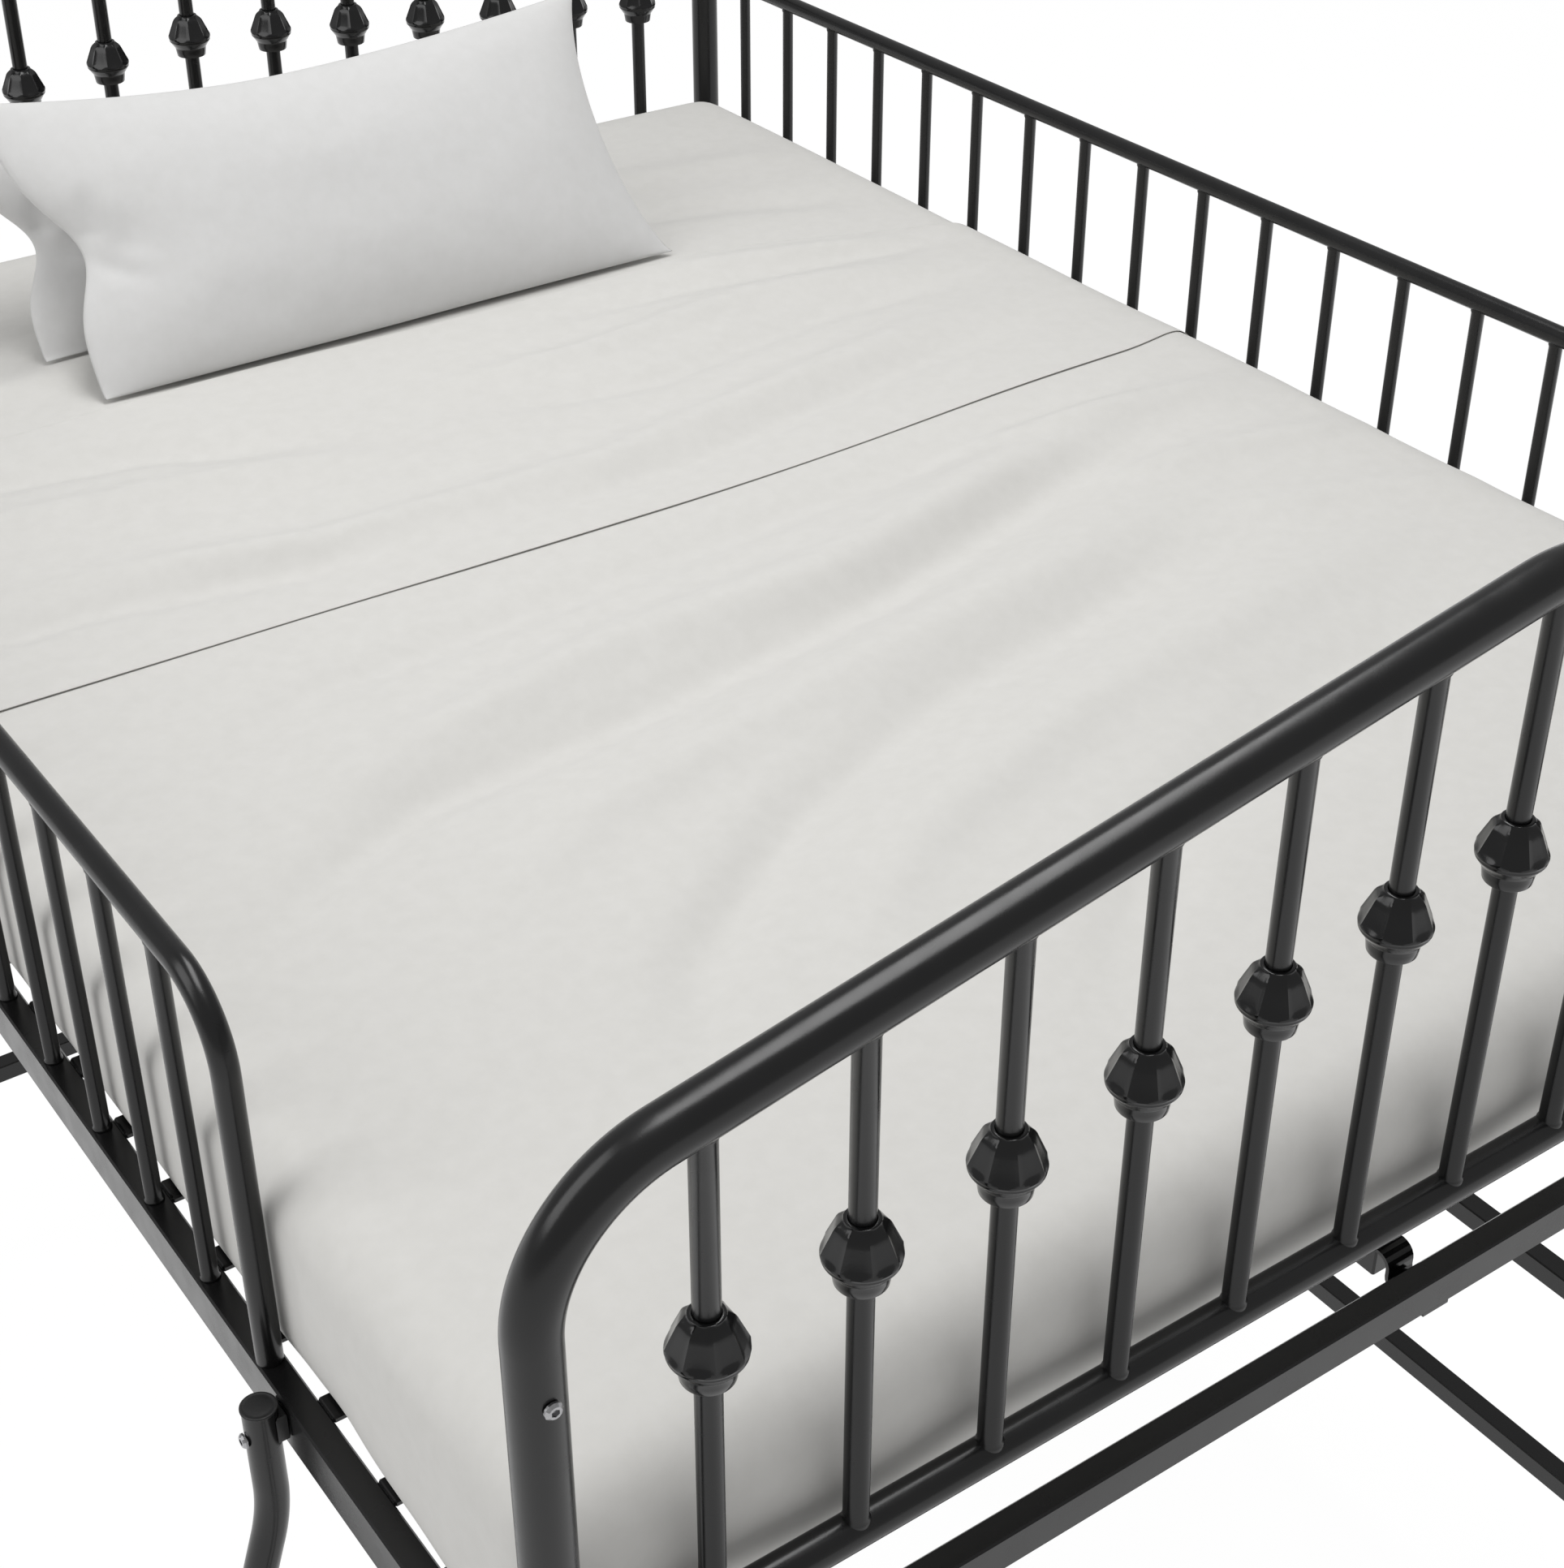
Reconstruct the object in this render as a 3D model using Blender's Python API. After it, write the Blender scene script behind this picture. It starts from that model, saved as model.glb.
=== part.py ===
"""Full-size metal loft bed with arched end panels, guard rails, ladder, mattress, sheet and pillows.

Units are metres and +Z is up. Sizes are first given in the bed's own plan: x runs across the bed from
the near leg axis to the far leg axis, y runs from the foot panel to the head panel, and z is the height
above the floor. The function place() turns them into the part's frame, whose origin is the centre of
the footprint's box on the floor.
"""

import math

import bmesh
import bpy
from mathutils import Matrix, Vector

# Overall frame
WIDTH = 1.410
LENGTH = 1.957
HOOP_R = 0.0165
GAP = 0.0003

# End panels
SHOULDER_LINE_Z = 1.6808
SHOULDER_RISE = 0.177
CORNER_R = 0.095
APEX_R = 0.140
SPINDLE_R = 0.008
SPINDLE_COUNT = 13
FIRST_SPINDLE_X = 0.1023
LOWER_RAIL_R = 0.0125
LOWER_RAIL_Z = 1.3243
CROSSBAR_DEPTH = 0.020
CROSSBAR_HEIGHT = 0.030
CROSSBAR_TOP = 1.2485

# Cast knobs on the spindles
KNOB_SIDES = 8
KNOB_MID_Z = 1.605
KNOB_DROP = 0.0116
KNOB_BORE = 0.0090
KNOB_PROFILE = [
    (0.0102, -0.0205),
    (0.0166, -0.0195),
    (0.0174, -0.0115),
    (0.0226, -0.0030),
    (0.0234, 0.0000),
    (0.0228, 0.0028),
    (0.0162, 0.0185),
    (0.0108, 0.0255),
]

# Lower stretchers
STRETCHER_SIZE = 0.025
STRETCHER_LOW_Z = 0.292
STRETCHER_HIGH_Z = 0.556

# Deck
RAIL_WIDTH = 0.020
RAIL_HEIGHT = 0.040
DECK_TOP = 1.267
SLAT_COUNT = 23
SLAT_WIDTH = 0.023
SLAT_HEIGHT = 0.006
FIRST_SLAT_Y = 0.0645
BEAM_END = 0.041
BEAM_BOTTOM = 1.212
HOOK_WIDTH = 0.025
HOOK_THICK = 0.003
HOOK_TOP_Z = 1.240
HOOK_FRONT = 0.0275
HOOK_TOP_BEND = 0.010
HOOK_LOW_BEND = 0.008

# Guard rails
GUARD_Z = 1.565
GUARD_R = 0.0095
GUARD_BAR_R = 0.00635
GUARD_BAR_COUNT = 20
NEAR_GUARD_FIRST = 4
NEAR_POST_Y = 0.3735
NEAR_CORNER_R = 0.055

# Ladder
LADDER_R = 0.012
LADDER_X = -0.0253
LADDER_TOP = 1.268
LADDER_BEND_Z = 1.198
LADDER_BEND_R = 0.160
LADDER_LEAN = math.radians(17.5)
LADDER_REAR_Y = 0.3375
LADDER_WIDTH = 0.285
RUNG_COUNT = 4
RUNG_R = 0.0095
RUNG_SPACING = 0.250
CAP_THICK = 0.0025
SADDLE_HEIGHT = 0.022
SADDLE_LIFT = 0.005
SADDLE_HALF = 0.0105
LADDER_BOLT_Z = 1.2455

# Socket-head bolts
BOLT_R = 0.003
BOLT_HEAD_R = 0.0055
BOLT_HEAD_THICK = 0.0030
BOLT_BORE_R = 0.0036
SOCKET_R = 0.0026
SOCKET_DEPTH = 0.0018
GUARD_BOLT_Z = 1.568

# Soft goods
MATTRESS_SIDE_GAP = 0.0155
MATTRESS_END_GAP = 0.031
MATTRESS_TOP = 1.4157
MATTRESS_CORNER = 0.045
SHEET_THICK = 0.004
SHEET_HEM_Z = 1.285
PILLOW_WIDTH = 0.680
PILLOW_HEIGHT = 0.330
PILLOW_THICK = 0.105
PILLOW_ROUND = 0.050
PILLOW_LEAN = math.radians(54.0)

# Facets
HOOP_SIDES = 20
TUBE_SIDES = 16
BAR_SIDES = 12

BLACK_PAINT = (0.030, 0.030, 0.031)
BLACK_PLASTIC = (0.018, 0.018, 0.019)
BRIGHT_ZINC = (0.62, 0.62, 0.63)
WARM_WHITE = (0.74, 0.72, 0.69)
PILLOW_WHITE = (0.76, 0.76, 0.77)


def ladder_foot_x():
    """Distance of the ladder tube's axis from the near leg axis where it meets the floor."""
    bend_x = LADDER_X - LADDER_BEND_R * (1 - math.cos(LADDER_LEAN))
    bend_z = LADDER_BEND_Z - LADDER_BEND_R * math.sin(LADDER_LEAN)
    return bend_x - bend_z * math.tan(LADDER_LEAN)


def centre_x():
    """Middle of the footprint, from the ladder's foot to the far legs."""
    near_side = ladder_foot_x() - LADDER_R / math.cos(LADDER_LEAN)
    return (near_side + WIDTH + HOOP_R) / 2


def place(x, y, z):
    """Turn a point of the bed's own plan into the part's frame."""
    return Vector((x - centre_x(), y - LENGTH / 2, z))


def clear_scene():
    for item in list(bpy.data.objects):
        bpy.data.objects.remove(item)


def material(name, colour, roughness, metallic):
    made = bpy.data.materials.get(name) or bpy.data.materials.new(name)
    made.use_nodes = True
    shader = made.node_tree.nodes["Principled BSDF"]
    shader.inputs["Base Color"].default_value = (*colour, 1)
    shader.inputs["Roughness"].default_value = roughness
    shader.inputs["Metallic"].default_value = metallic
    return made


def paint():
    return material("black_powder_coat", BLACK_PAINT, 0.38, 0.0)


def finish_mesh(name, mesh_builder, look, smooth=True):
    """Close a bmesh into a named object with its own material."""
    bmesh.ops.recalc_face_normals(mesh_builder, faces=mesh_builder.faces)
    mesh = bpy.data.meshes.new(name)
    mesh_builder.to_mesh(mesh)
    mesh_builder.free()
    if smooth:
        mesh.shade_smooth()
        mesh.set_sharp_from_angle(angle=math.radians(40))
    item = bpy.data.objects.new(name, mesh)
    bpy.context.collection.objects.link(item)
    item.data.materials.append(look)
    return item


def hide_as_tool(item):
    item.hide_render = True
    item.display_type = "WIRE"
    return item


def boolean(item, tool, operation):
    change = item.modifiers.new(operation.lower() + "_" + tool.name, "BOOLEAN")
    change.operation = operation
    change.solver = "EXACT"
    change.object = tool
    return change


def weld(item, tools):
    for tool in tools:
        boolean(item, hide_as_tool(tool), "UNION")


def cut(item, tool):
    boolean(item, hide_as_tool(tool), "DIFFERENCE")


def ring_frame(direction, side_hint):
    """Two unit vectors across a direction, the first one kept close to the hint."""
    across = side_hint - direction * side_hint.dot(direction)
    across.normalize()
    return across, direction.cross(across)


def sweep(name, points, radius, sides, look, hint=(0, 1, 0), flat_start=False, flat_end=False):
    """Round bar along a route. Its ends are square, or level where they are marked flat."""
    route = [place(*point) for point in points]
    builder = bmesh.new()
    hint = Vector(hint)
    rings = []
    last = len(route) - 1
    for index, point in enumerate(route):
        before = (point - route[index - 1]).normalized() if index > 0 else None
        after = (route[index + 1] - point).normalized() if index < last else None
        run = before or after
        normal = run if before is None or after is None else (before + after).normalized()
        if (index == 0 and flat_start) or (index == last and flat_end):
            normal = Vector((0, 0, 1 if run.z > 0 else -1))
        first, second = ring_frame(run, hint)
        ring = []
        for step in range(sides):
            turn = 2 * math.pi * (step + 0.5) / sides
            offset = first * (radius * math.cos(turn)) + second * (radius * math.sin(turn))
            slide = -offset.dot(normal) / run.dot(normal)
            ring.append(builder.verts.new(point + offset + run * slide))
        rings.append(ring)
    for ring, following in zip(rings, rings[1:]):
        for step in range(sides):
            after = (step + 1) % sides
            builder.faces.new((ring[step], ring[after], following[after], following[step]))
    builder.faces.new(list(reversed(rings[0])))
    builder.faces.new(rings[-1])
    return finish_mesh(name, builder, look)


def box(name, low, high, look, bevel=0.0015):
    """Rectangular bar between two corners, with eased edges."""
    builder = bmesh.new()
    bmesh.ops.create_cube(builder, size=1)
    low, high = place(*low), place(*high)
    size = high - low
    for vertex in builder.verts:
        vertex.co = Vector([low[i] + size[i] * (vertex.co[i] + 0.5) for i in range(3)])
    if bevel:
        bmesh.ops.bevel(builder, geom=builder.edges[:], offset=bevel, segments=1, affect="EDGES")
    return finish_mesh(name, builder, look, smooth=False)


def arc(centre, radius, start, end, steps):
    """Points of an arc in a vertical plane, as pairs of distance and height."""
    pairs = []
    for step in range(steps + 1):
        turn = start + (end - start) * step / steps
        pairs.append((centre[0] + radius * math.cos(turn), centre[1] + radius * math.sin(turn)))
    return pairs


def hoop_outline():
    """Centre line of an end panel's bent tube, as pairs of x and z."""
    slope = math.atan(SHOULDER_RISE)
    turn_x = CORNER_R * (1 - math.sin(slope))
    leg_top = arch_z(turn_x) - CORNER_R * math.cos(slope)
    corner = arc((CORNER_R, leg_top), CORNER_R, math.pi, math.pi / 2 + slope, 8)
    middle = WIDTH / 2
    apex_z = arch_z(middle) - APEX_R / math.cos(slope)
    apex = arc((middle, apex_z), APEX_R, math.pi / 2 + slope, math.pi / 2, 2)
    left = [(0, 0)] + corner + apex
    right = [(WIDTH - x, z) for x, z in reversed(left[:-1])]
    return left + right


def hoop(name, y, radius):
    points = [(x, y, z) for x, z in hoop_outline()]
    return sweep(name, points, radius, HOOP_SIDES, paint(), flat_start=True, flat_end=True)


def bolt_tool(name, start, end):
    """Cutter for a bolt's clearance hole."""
    return hide_as_tool(sweep(name, [start, end], BOLT_BORE_R, BAR_SIDES, paint(), hint=(0, 0, 1)))


def spindle_x(index):
    pitch = (WIDTH - 2 * FIRST_SPINDLE_X) / (SPINDLE_COUNT - 1)
    return FIRST_SPINDLE_X + pitch * index


def knob_z(index):
    return KNOB_MID_Z - KNOB_DROP * abs(index - (SPINDLE_COUNT - 1) / 2)


def arch_z(x):
    """Height of the straight shoulder line, which rises from each leg axis to the middle."""
    return SHOULDER_LINE_Z + min(x, WIDTH - x) * SHOULDER_RISE


def grille(side, y, clearance_hoop):
    """Lower rail with its upright spindles, coped to the bent tube."""
    rail = sweep(side + "_grille", [(0, y, LOWER_RAIL_Z), (WIDTH, y, LOWER_RAIL_Z)],
                 LOWER_RAIL_R, TUBE_SIDES, paint())
    spindles = []
    for index in range(SPINDLE_COUNT):
        x = spindle_x(index)
        route = [(x, y, LOWER_RAIL_Z), (x, y, arch_z(x))]
        spindles.append(sweep(f"{side}_spindle_tool_{index}", route, SPINDLE_R, BAR_SIDES, paint()))
    weld(rail, spindles)
    cut(rail, clearance_hoop)
    return rail


def knob(name, x, y, z):
    """Eight-sided casting with a through bore for its spindle."""
    builder = bmesh.new()
    centre = place(x, y, z)
    outline = KNOB_PROFILE + [(KNOB_BORE, KNOB_PROFILE[-1][1]), (KNOB_BORE, KNOB_PROFILE[0][1])]
    rings = []
    for radius, height in outline:
        ring = []
        for step in range(KNOB_SIDES):
            turn = 2 * math.pi * (step + 0.5) / KNOB_SIDES
            offset = Vector((radius * math.cos(turn), radius * math.sin(turn), height))
            ring.append(builder.verts.new(centre + offset))
        rings.append(ring)
    for ring, following in zip(rings, rings[1:] + rings[:1]):
        for step in range(KNOB_SIDES):
            after = (step + 1) % KNOB_SIDES
            builder.faces.new((ring[step], ring[after], following[after], following[step]))
    look = material("cast_knob", BLACK_PAINT, 0.25, 0.0)
    return finish_mesh(name, builder, look, smooth=False)


def panel(side, y, outward):
    """One end of the bed: bent tube, grille, knobs, deck crossbar and low stretcher."""
    tube = hoop(side + "_hoop", y, HOOP_R)
    clearance_hoop = hoop(side + "_hoop_clearance_tool", y, HOOP_R + GAP)
    grille(side, y, clearance_hoop)
    for index in range(SPINDLE_COUNT):
        knob(f"{side}_knob_{index + 1:02d}", spindle_x(index), y, knob_z(index))
    half = CROSSBAR_DEPTH / 2
    bar = box(side + "_crossbar", (0, y - half, CROSSBAR_TOP - CROSSBAR_HEIGHT),
              (WIDTH, y + half, CROSSBAR_TOP), paint())
    cut(bar, clearance_hoop)
    half = STRETCHER_SIZE / 2
    low = box(side + "_stretcher", (0, y - half, STRETCHER_LOW_Z - half),
              (WIDTH, y + half, STRETCHER_LOW_Z + half), paint())
    cut(low, clearance_hoop)
    for leg, x in (("near", 0), ("far", WIDTH)):
        reach = 0.03 * outward
        cut(tube, bolt_tool(f"{side}_{leg}_bore_tool", (x, y - reach, GUARD_BOLT_Z),
                            (x, y + reach, GUARD_BOLT_Z)))
        head = Vector((x, y + outward * (HOOP_R + GAP), GUARD_BOLT_Z))
        bolt(f"{side}_{leg}_bolt", head, Vector((0, outward, 0)), 2 * HOOP_R - 0.002)


def bolt(name, seat, out, shank_length):
    """Button-head bolt with a six-sided socket; seat is the middle of the head's underside."""
    builder = bmesh.new()
    origin = place(*seat)
    first, second = ring_frame(out, Vector((0, 0, 1)))
    outline = [
        (BOLT_R, -shank_length, BAR_SIDES),
        (BOLT_R, 0, BAR_SIDES),
        (BOLT_HEAD_R, 0, BAR_SIDES),
        (BOLT_HEAD_R, BOLT_HEAD_THICK * 0.45, BAR_SIDES),
        (BOLT_HEAD_R * 0.72, BOLT_HEAD_THICK, BAR_SIDES),
        (SOCKET_R, BOLT_HEAD_THICK, BAR_SIDES),
        (SOCKET_R, BOLT_HEAD_THICK - SOCKET_DEPTH, BAR_SIDES),
    ]
    rings = []
    for radius, height, sides in outline:
        ring = []
        for step in range(sides):
            turn = 2 * math.pi * step / sides
            reach = radius
            if radius == SOCKET_R and step % 2:
                reach = radius * math.cos(math.pi / 6)
            offset = first * (reach * math.cos(turn)) + second * (reach * math.sin(turn))
            ring.append(builder.verts.new(origin + offset + out * height))
        rings.append(ring)
    for ring, following in zip(rings, rings[1:]):
        for step in range(BAR_SIDES):
            after = (step + 1) % BAR_SIDES
            builder.faces.new((ring[step], ring[after], following[after], following[step]))
    builder.faces.new(list(reversed(rings[0])))
    builder.faces.new(rings[-1])
    look = material("bright_zinc", BRIGHT_ZINC, 0.28, 1.0)
    return finish_mesh(name, builder, look)


def long_bar(name, x, z, width, height):
    """Rectangular bar running from the foot panel's leg to the head panel's leg."""
    end = HOOP_R + GAP
    return box(name, (x - width / 2, end, z - height / 2), (x + width / 2, LENGTH - end, z + height / 2),
               paint())


def slat_y(index):
    pitch = (LENGTH - 2 * FIRST_SLAT_Y) / (SLAT_COUNT - 1)
    return FIRST_SLAT_Y + pitch * index


def slat_deck():
    """Centre beam with the slats welded across it."""
    beam_top = DECK_TOP - SLAT_HEIGHT
    half = RAIL_WIDTH / 2
    beam = box("slat_deck", (WIDTH / 2 - half, BEAM_END, BEAM_BOTTOM),
               (WIDTH / 2 + half, LENGTH - BEAM_END, beam_top + 0.001), paint())
    inner = RAIL_WIDTH / 2 + GAP
    slats = []
    for index in range(SLAT_COUNT):
        y = slat_y(index)
        slats.append(box(f"slat_tool_{index}", (inner, y - SLAT_WIDTH / 2, beam_top),
                         (WIDTH - inner, y + SLAT_WIDTH / 2, DECK_TOP), paint()))
    weld(beam, slats)
    return beam


def hook_outline(inward):
    """Side outline of a beam hook: over the end, down, and under the crossbar, as y and z pairs."""
    tail_z = CROSSBAR_TOP - CROSSBAR_HEIGHT - GAP - HOOK_THICK / 2
    front = HOOK_FRONT
    top_z = HOOK_TOP_Z
    top_bend = arc((front + HOOK_TOP_BEND, top_z - HOOK_TOP_BEND), HOOK_TOP_BEND,
                   math.pi / 2, math.pi, 5)
    low_bend = arc((front - HOOK_LOW_BEND, tail_z + HOOK_LOW_BEND), HOOK_LOW_BEND,
                   0, -math.pi / 2, 4)
    middle = [(BEAM_END - GAP, top_z)] + top_bend + low_bend + [(-0.0090, tail_z)]
    return [(y * inward, z) for y, z in middle]


def beam_hook(name, y, inward):
    """Bent strap that carries the beam's end under the crossbar."""
    route = [Vector((0, y + distance, z)) for distance, z in hook_outline(inward)]
    builder = bmesh.new()
    rows = []
    for index, point in enumerate(route):
        before = (point - route[index - 1]).normalized() if index > 0 else None
        after = (route[index + 1] - point).normalized() if index < len(route) - 1 else None
        run = (before + after).normalized() if before and after else (before or after)
        out = Vector((1, 0, 0)).cross(run) * (HOOK_THICK / 2)
        row = []
        for side, reach in ((-1, 1), (1, 1), (1, -1), (-1, -1)):
            corner = point + out * reach
            x = WIDTH / 2 + side * HOOK_WIDTH / 2
            row.append(builder.verts.new(place(x, corner.y, corner.z)))
        rows.append(row)
    for row, following in zip(rows, rows[1:]):
        for step in range(4):
            after = (step + 1) % 4
            builder.faces.new((row[step], row[after], following[after], following[step]))
    builder.faces.new(list(reversed(rows[0])))
    builder.faces.new(rows[-1])
    return finish_mesh(name, builder, material("strap_gloss", BLACK_PLASTIC, 0.2, 0.0))


def guard_bar_y(index):
    return LENGTH * (index + 1) / (GUARD_BAR_COUNT + 1)


def guard(name, x, route, bars):
    """Guard rail: a top tube on its route, with thin uprights that stand on the side rail."""
    tube = sweep(name, [(x, y, z) for y, z in route], GUARD_R, TUBE_SIDES, paint(), hint=(1, 0, 0))
    uprights = []
    for index in bars:
        y = guard_bar_y(index)
        uprights.append(sweep(f"{name}_upright_tool_{index}",
                              [(x, y, DECK_TOP + GAP), (x, y, GUARD_Z)],
                              GUARD_BAR_R, BAR_SIDES, paint()))
    weld(tube, uprights)
    return tube


def guards():
    end = HOOP_R + GAP
    far_route = [(end, GUARD_Z), (LENGTH - end, GUARD_Z)]
    guard("guard_far", WIDTH, far_route, range(GUARD_BAR_COUNT))
    corner = arc((NEAR_POST_Y + NEAR_CORNER_R, GUARD_Z - NEAR_CORNER_R), NEAR_CORNER_R,
                 math.pi, math.pi / 2, 7)
    near_route = [(NEAR_POST_Y, DECK_TOP + GAP)] + corner + [(LENGTH - end, GUARD_Z)]
    guard("guard_near", 0, near_route, range(NEAR_GUARD_FIRST, GUARD_BAR_COUNT))


def ladder_route(y):
    bend = arc((LADDER_X - LADDER_BEND_R, LADDER_BEND_Z), LADDER_BEND_R, 0, -LADDER_LEAN, 4)
    points = [(LADDER_X, y, LADDER_TOP)] + [(x, y, z) for x, z in bend]
    return points + [(ladder_foot_x(), y, 0)]


def ladder_x(z):
    """Distance of the leaning part of the ladder from the near leg axis at a height."""
    return ladder_foot_x() + z * math.tan(LADDER_LEAN)


def ladder():
    """Two bent side tubes with rungs welded between them, held on the side rail by saddles."""
    front_y = LADDER_REAR_Y - LADDER_WIDTH
    frame = sweep("ladder_frame", ladder_route(LADDER_REAR_Y), LADDER_R, TUBE_SIDES, paint(),
                  flat_start=True, flat_end=True)
    parts = [sweep("ladder_front_tool", ladder_route(front_y), LADDER_R, TUBE_SIDES, paint(),
                   flat_start=True, flat_end=True)]
    for index in range(RUNG_COUNT):
        z = RUNG_SPACING * (index + 1)
        x = ladder_x(z)
        parts.append(sweep(f"rung_tool_{index}", [(x, front_y, z), (x, LADDER_REAR_Y, z)],
                           RUNG_R, BAR_SIDES, paint(), hint=(0, 0, 1)))
    weld(frame, parts)
    for place_name, y in (("front", front_y), ("rear", LADDER_REAR_Y)):
        bore_start = (LADDER_X - 0.03, y, LADDER_BOLT_Z)
        bore_end = (RAIL_WIDTH, y, LADDER_BOLT_Z)
        cut(frame, bolt_tool(f"ladder_{place_name}_bore_tool", bore_start, bore_end))
        ladder_saddle(place_name, y)
        seat = Vector((LADDER_X - LADDER_R - GAP, y, LADDER_BOLT_Z))
        reach = -LADDER_X + LADDER_R + RAIL_WIDTH / 2 - 0.002
        bolt(f"ladder_bolt_{place_name}", seat, Vector((-1, 0, 0)), reach)
        cap_low = (LADDER_X, y, LADDER_TOP + GAP)
        cap_high = (LADDER_X, y, LADDER_TOP + GAP + CAP_THICK)
        cap = sweep(f"ladder_cap_{place_name}", [cap_low, cap_high], LADDER_R + 0.0004, TUBE_SIDES,
                    material("cap_plastic", BLACK_PLASTIC, 0.4, 0.0))
        cap.data.materials[0].diffuse_color = (*BLACK_PLASTIC, 1)


def ladder_saddle(place_name, y):
    """Spacer between a ladder tube and the side rail, hollowed to the tube's radius."""
    face = -RAIL_WIDTH / 2 - GAP
    middle = LADDER_BOLT_Z + SADDLE_LIFT
    low = (LADDER_X + 0.001, y - SADDLE_HALF, middle - SADDLE_HEIGHT / 2)
    high = (face, y + SADDLE_HALF, middle + SADDLE_HEIGHT / 2)
    saddle = box(f"ladder_saddle_{place_name}", low, high,
                 material("saddle_plastic", BLACK_PLASTIC, 0.3, 0.0), bevel=0.001)
    cut(saddle, sweep(f"saddle_{place_name}_tube_tool",
                      [(LADDER_X, y, LADDER_BEND_Z), (LADDER_X, y, LADDER_TOP + 0.02)],
                      LADDER_R + GAP, TUBE_SIDES, paint()))
    cut(saddle, bolt_tool(f"saddle_{place_name}_bore_tool", (LADDER_X, y, LADDER_BOLT_Z),
                          (RAIL_WIDTH, y, LADDER_BOLT_Z)))
    return saddle


def side_rails():
    z = DECK_TOP - RAIL_HEIGHT / 2
    near = long_bar("side_rail_near", 0, z, RAIL_WIDTH, RAIL_HEIGHT)
    long_bar("side_rail_far", WIDTH, z, RAIL_WIDTH, RAIL_HEIGHT)
    for place_name, y in (("front", LADDER_REAR_Y - LADDER_WIDTH), ("rear", LADDER_REAR_Y)):
        cut(near, bolt_tool(f"rail_{place_name}_bore_tool", (-0.03, y, LADDER_BOLT_Z),
                            (0.03, y, LADDER_BOLT_Z)))


def soft_block(name, low, high, look, rounding, segments):
    item = box(name, low, high, look, bevel=0)
    ease = item.modifiers.new("rounded_edges", "BEVEL")
    ease.width = rounding
    ease.segments = segments
    item.data.shade_smooth()
    return item


def mattress():
    low = (MATTRESS_SIDE_GAP, MATTRESS_END_GAP, DECK_TOP + GAP)
    high = (WIDTH - MATTRESS_SIDE_GAP, LENGTH - MATTRESS_END_GAP, MATTRESS_TOP)
    return soft_block("mattress", low, high, material("mattress_ticking", WARM_WHITE, 0.85, 0.0),
                      MATTRESS_CORNER / 2, 3)


def bed_sheet():
    """Sheet over the mattress: a thin tray turned over, open below."""
    out = SHEET_THICK + GAP
    low = (MATTRESS_SIDE_GAP - out, MATTRESS_END_GAP - out, SHEET_HEM_Z)
    high = (WIDTH - MATTRESS_SIDE_GAP + out, LENGTH - MATTRESS_END_GAP + out, MATTRESS_TOP + out)
    look = material("sheet_cotton", WARM_WHITE, 0.8, 0.0)
    sheet = box("bed_sheet", low, high, look, bevel=0)
    ease = sheet.modifiers.new("rounded_edges", "BEVEL")
    ease.width = MATTRESS_CORNER / 2 + SHEET_THICK
    ease.segments = 3
    inside_low = (MATTRESS_SIDE_GAP - GAP, MATTRESS_END_GAP - GAP, SHEET_HEM_Z - 0.10)
    inside_high = (WIDTH - MATTRESS_SIDE_GAP + GAP, LENGTH - MATTRESS_END_GAP + GAP, MATTRESS_TOP + GAP)
    inside = box("sheet_inside_tool", inside_low, inside_high, look, bevel=0)
    round_inside = inside.modifiers.new("rounded_edges", "BEVEL")
    round_inside.width = MATTRESS_CORNER / 2
    round_inside.segments = 3
    cut(sheet, inside)
    skirt_low = (-0.1, -0.1, SHEET_HEM_Z - 0.05)
    skirt_high = (WIDTH + 0.1, LENGTH + 0.1, SHEET_HEM_Z + MATTRESS_CORNER / 2 + SHEET_THICK)
    cut(sheet, box("sheet_hem_tool", skirt_low, skirt_high, look, bevel=0))
    return sheet


def pillow(name, x, foot_y, foot_z):
    """Plain rounded pillow that leans towards the head panel from its lower front edge."""
    builder = bmesh.new()
    bmesh.ops.create_cube(builder, size=1)
    for vertex in builder.verts:
        vertex.co.x *= PILLOW_WIDTH
        vertex.co.y *= PILLOW_HEIGHT
        vertex.co.z *= PILLOW_THICK
    bmesh.ops.bevel(builder, geom=builder.edges[:], offset=PILLOW_ROUND, segments=3,
                    profile=0.5, affect="EDGES")
    lean = Matrix.Rotation(PILLOW_LEAN, 4, "X")
    bmesh.ops.transform(builder, matrix=lean, verts=builder.verts)
    lowest_y = min(vertex.co.y for vertex in builder.verts)
    lowest_z = min(vertex.co.z for vertex in builder.verts)
    shift = place(x, foot_y, foot_z) - Vector((0, lowest_y, lowest_z))
    bmesh.ops.translate(builder, vec=shift, verts=builder.verts)
    return finish_mesh(name, builder, material("pillow_cotton", PILLOW_WHITE, 0.8, 0.0))


def soft_goods():
    mattress()
    bed_sheet()
    top = MATTRESS_TOP + SHEET_THICK + 2 * GAP
    pillow("pillow_front", WIDTH / 2 + 0.005, 1.478, top)
    pillow("pillow_back", WIDTH / 2 - 0.010, 1.612, top)


def main():
    clear_scene()
    panel("footboard", 0, -1)
    panel("headboard", LENGTH, 1)
    side_rails()
    long_bar("back_stretcher_low", WIDTH, STRETCHER_LOW_Z, STRETCHER_SIZE, STRETCHER_SIZE)
    long_bar("back_stretcher_high", WIDTH, STRETCHER_HIGH_Z, STRETCHER_SIZE, STRETCHER_SIZE)
    slat_deck()
    beam_hook("beam_hook_foot", 0, 1)
    beam_hook("beam_hook_head", LENGTH, -1)
    guards()
    ladder()
    soft_goods()


main()
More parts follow.
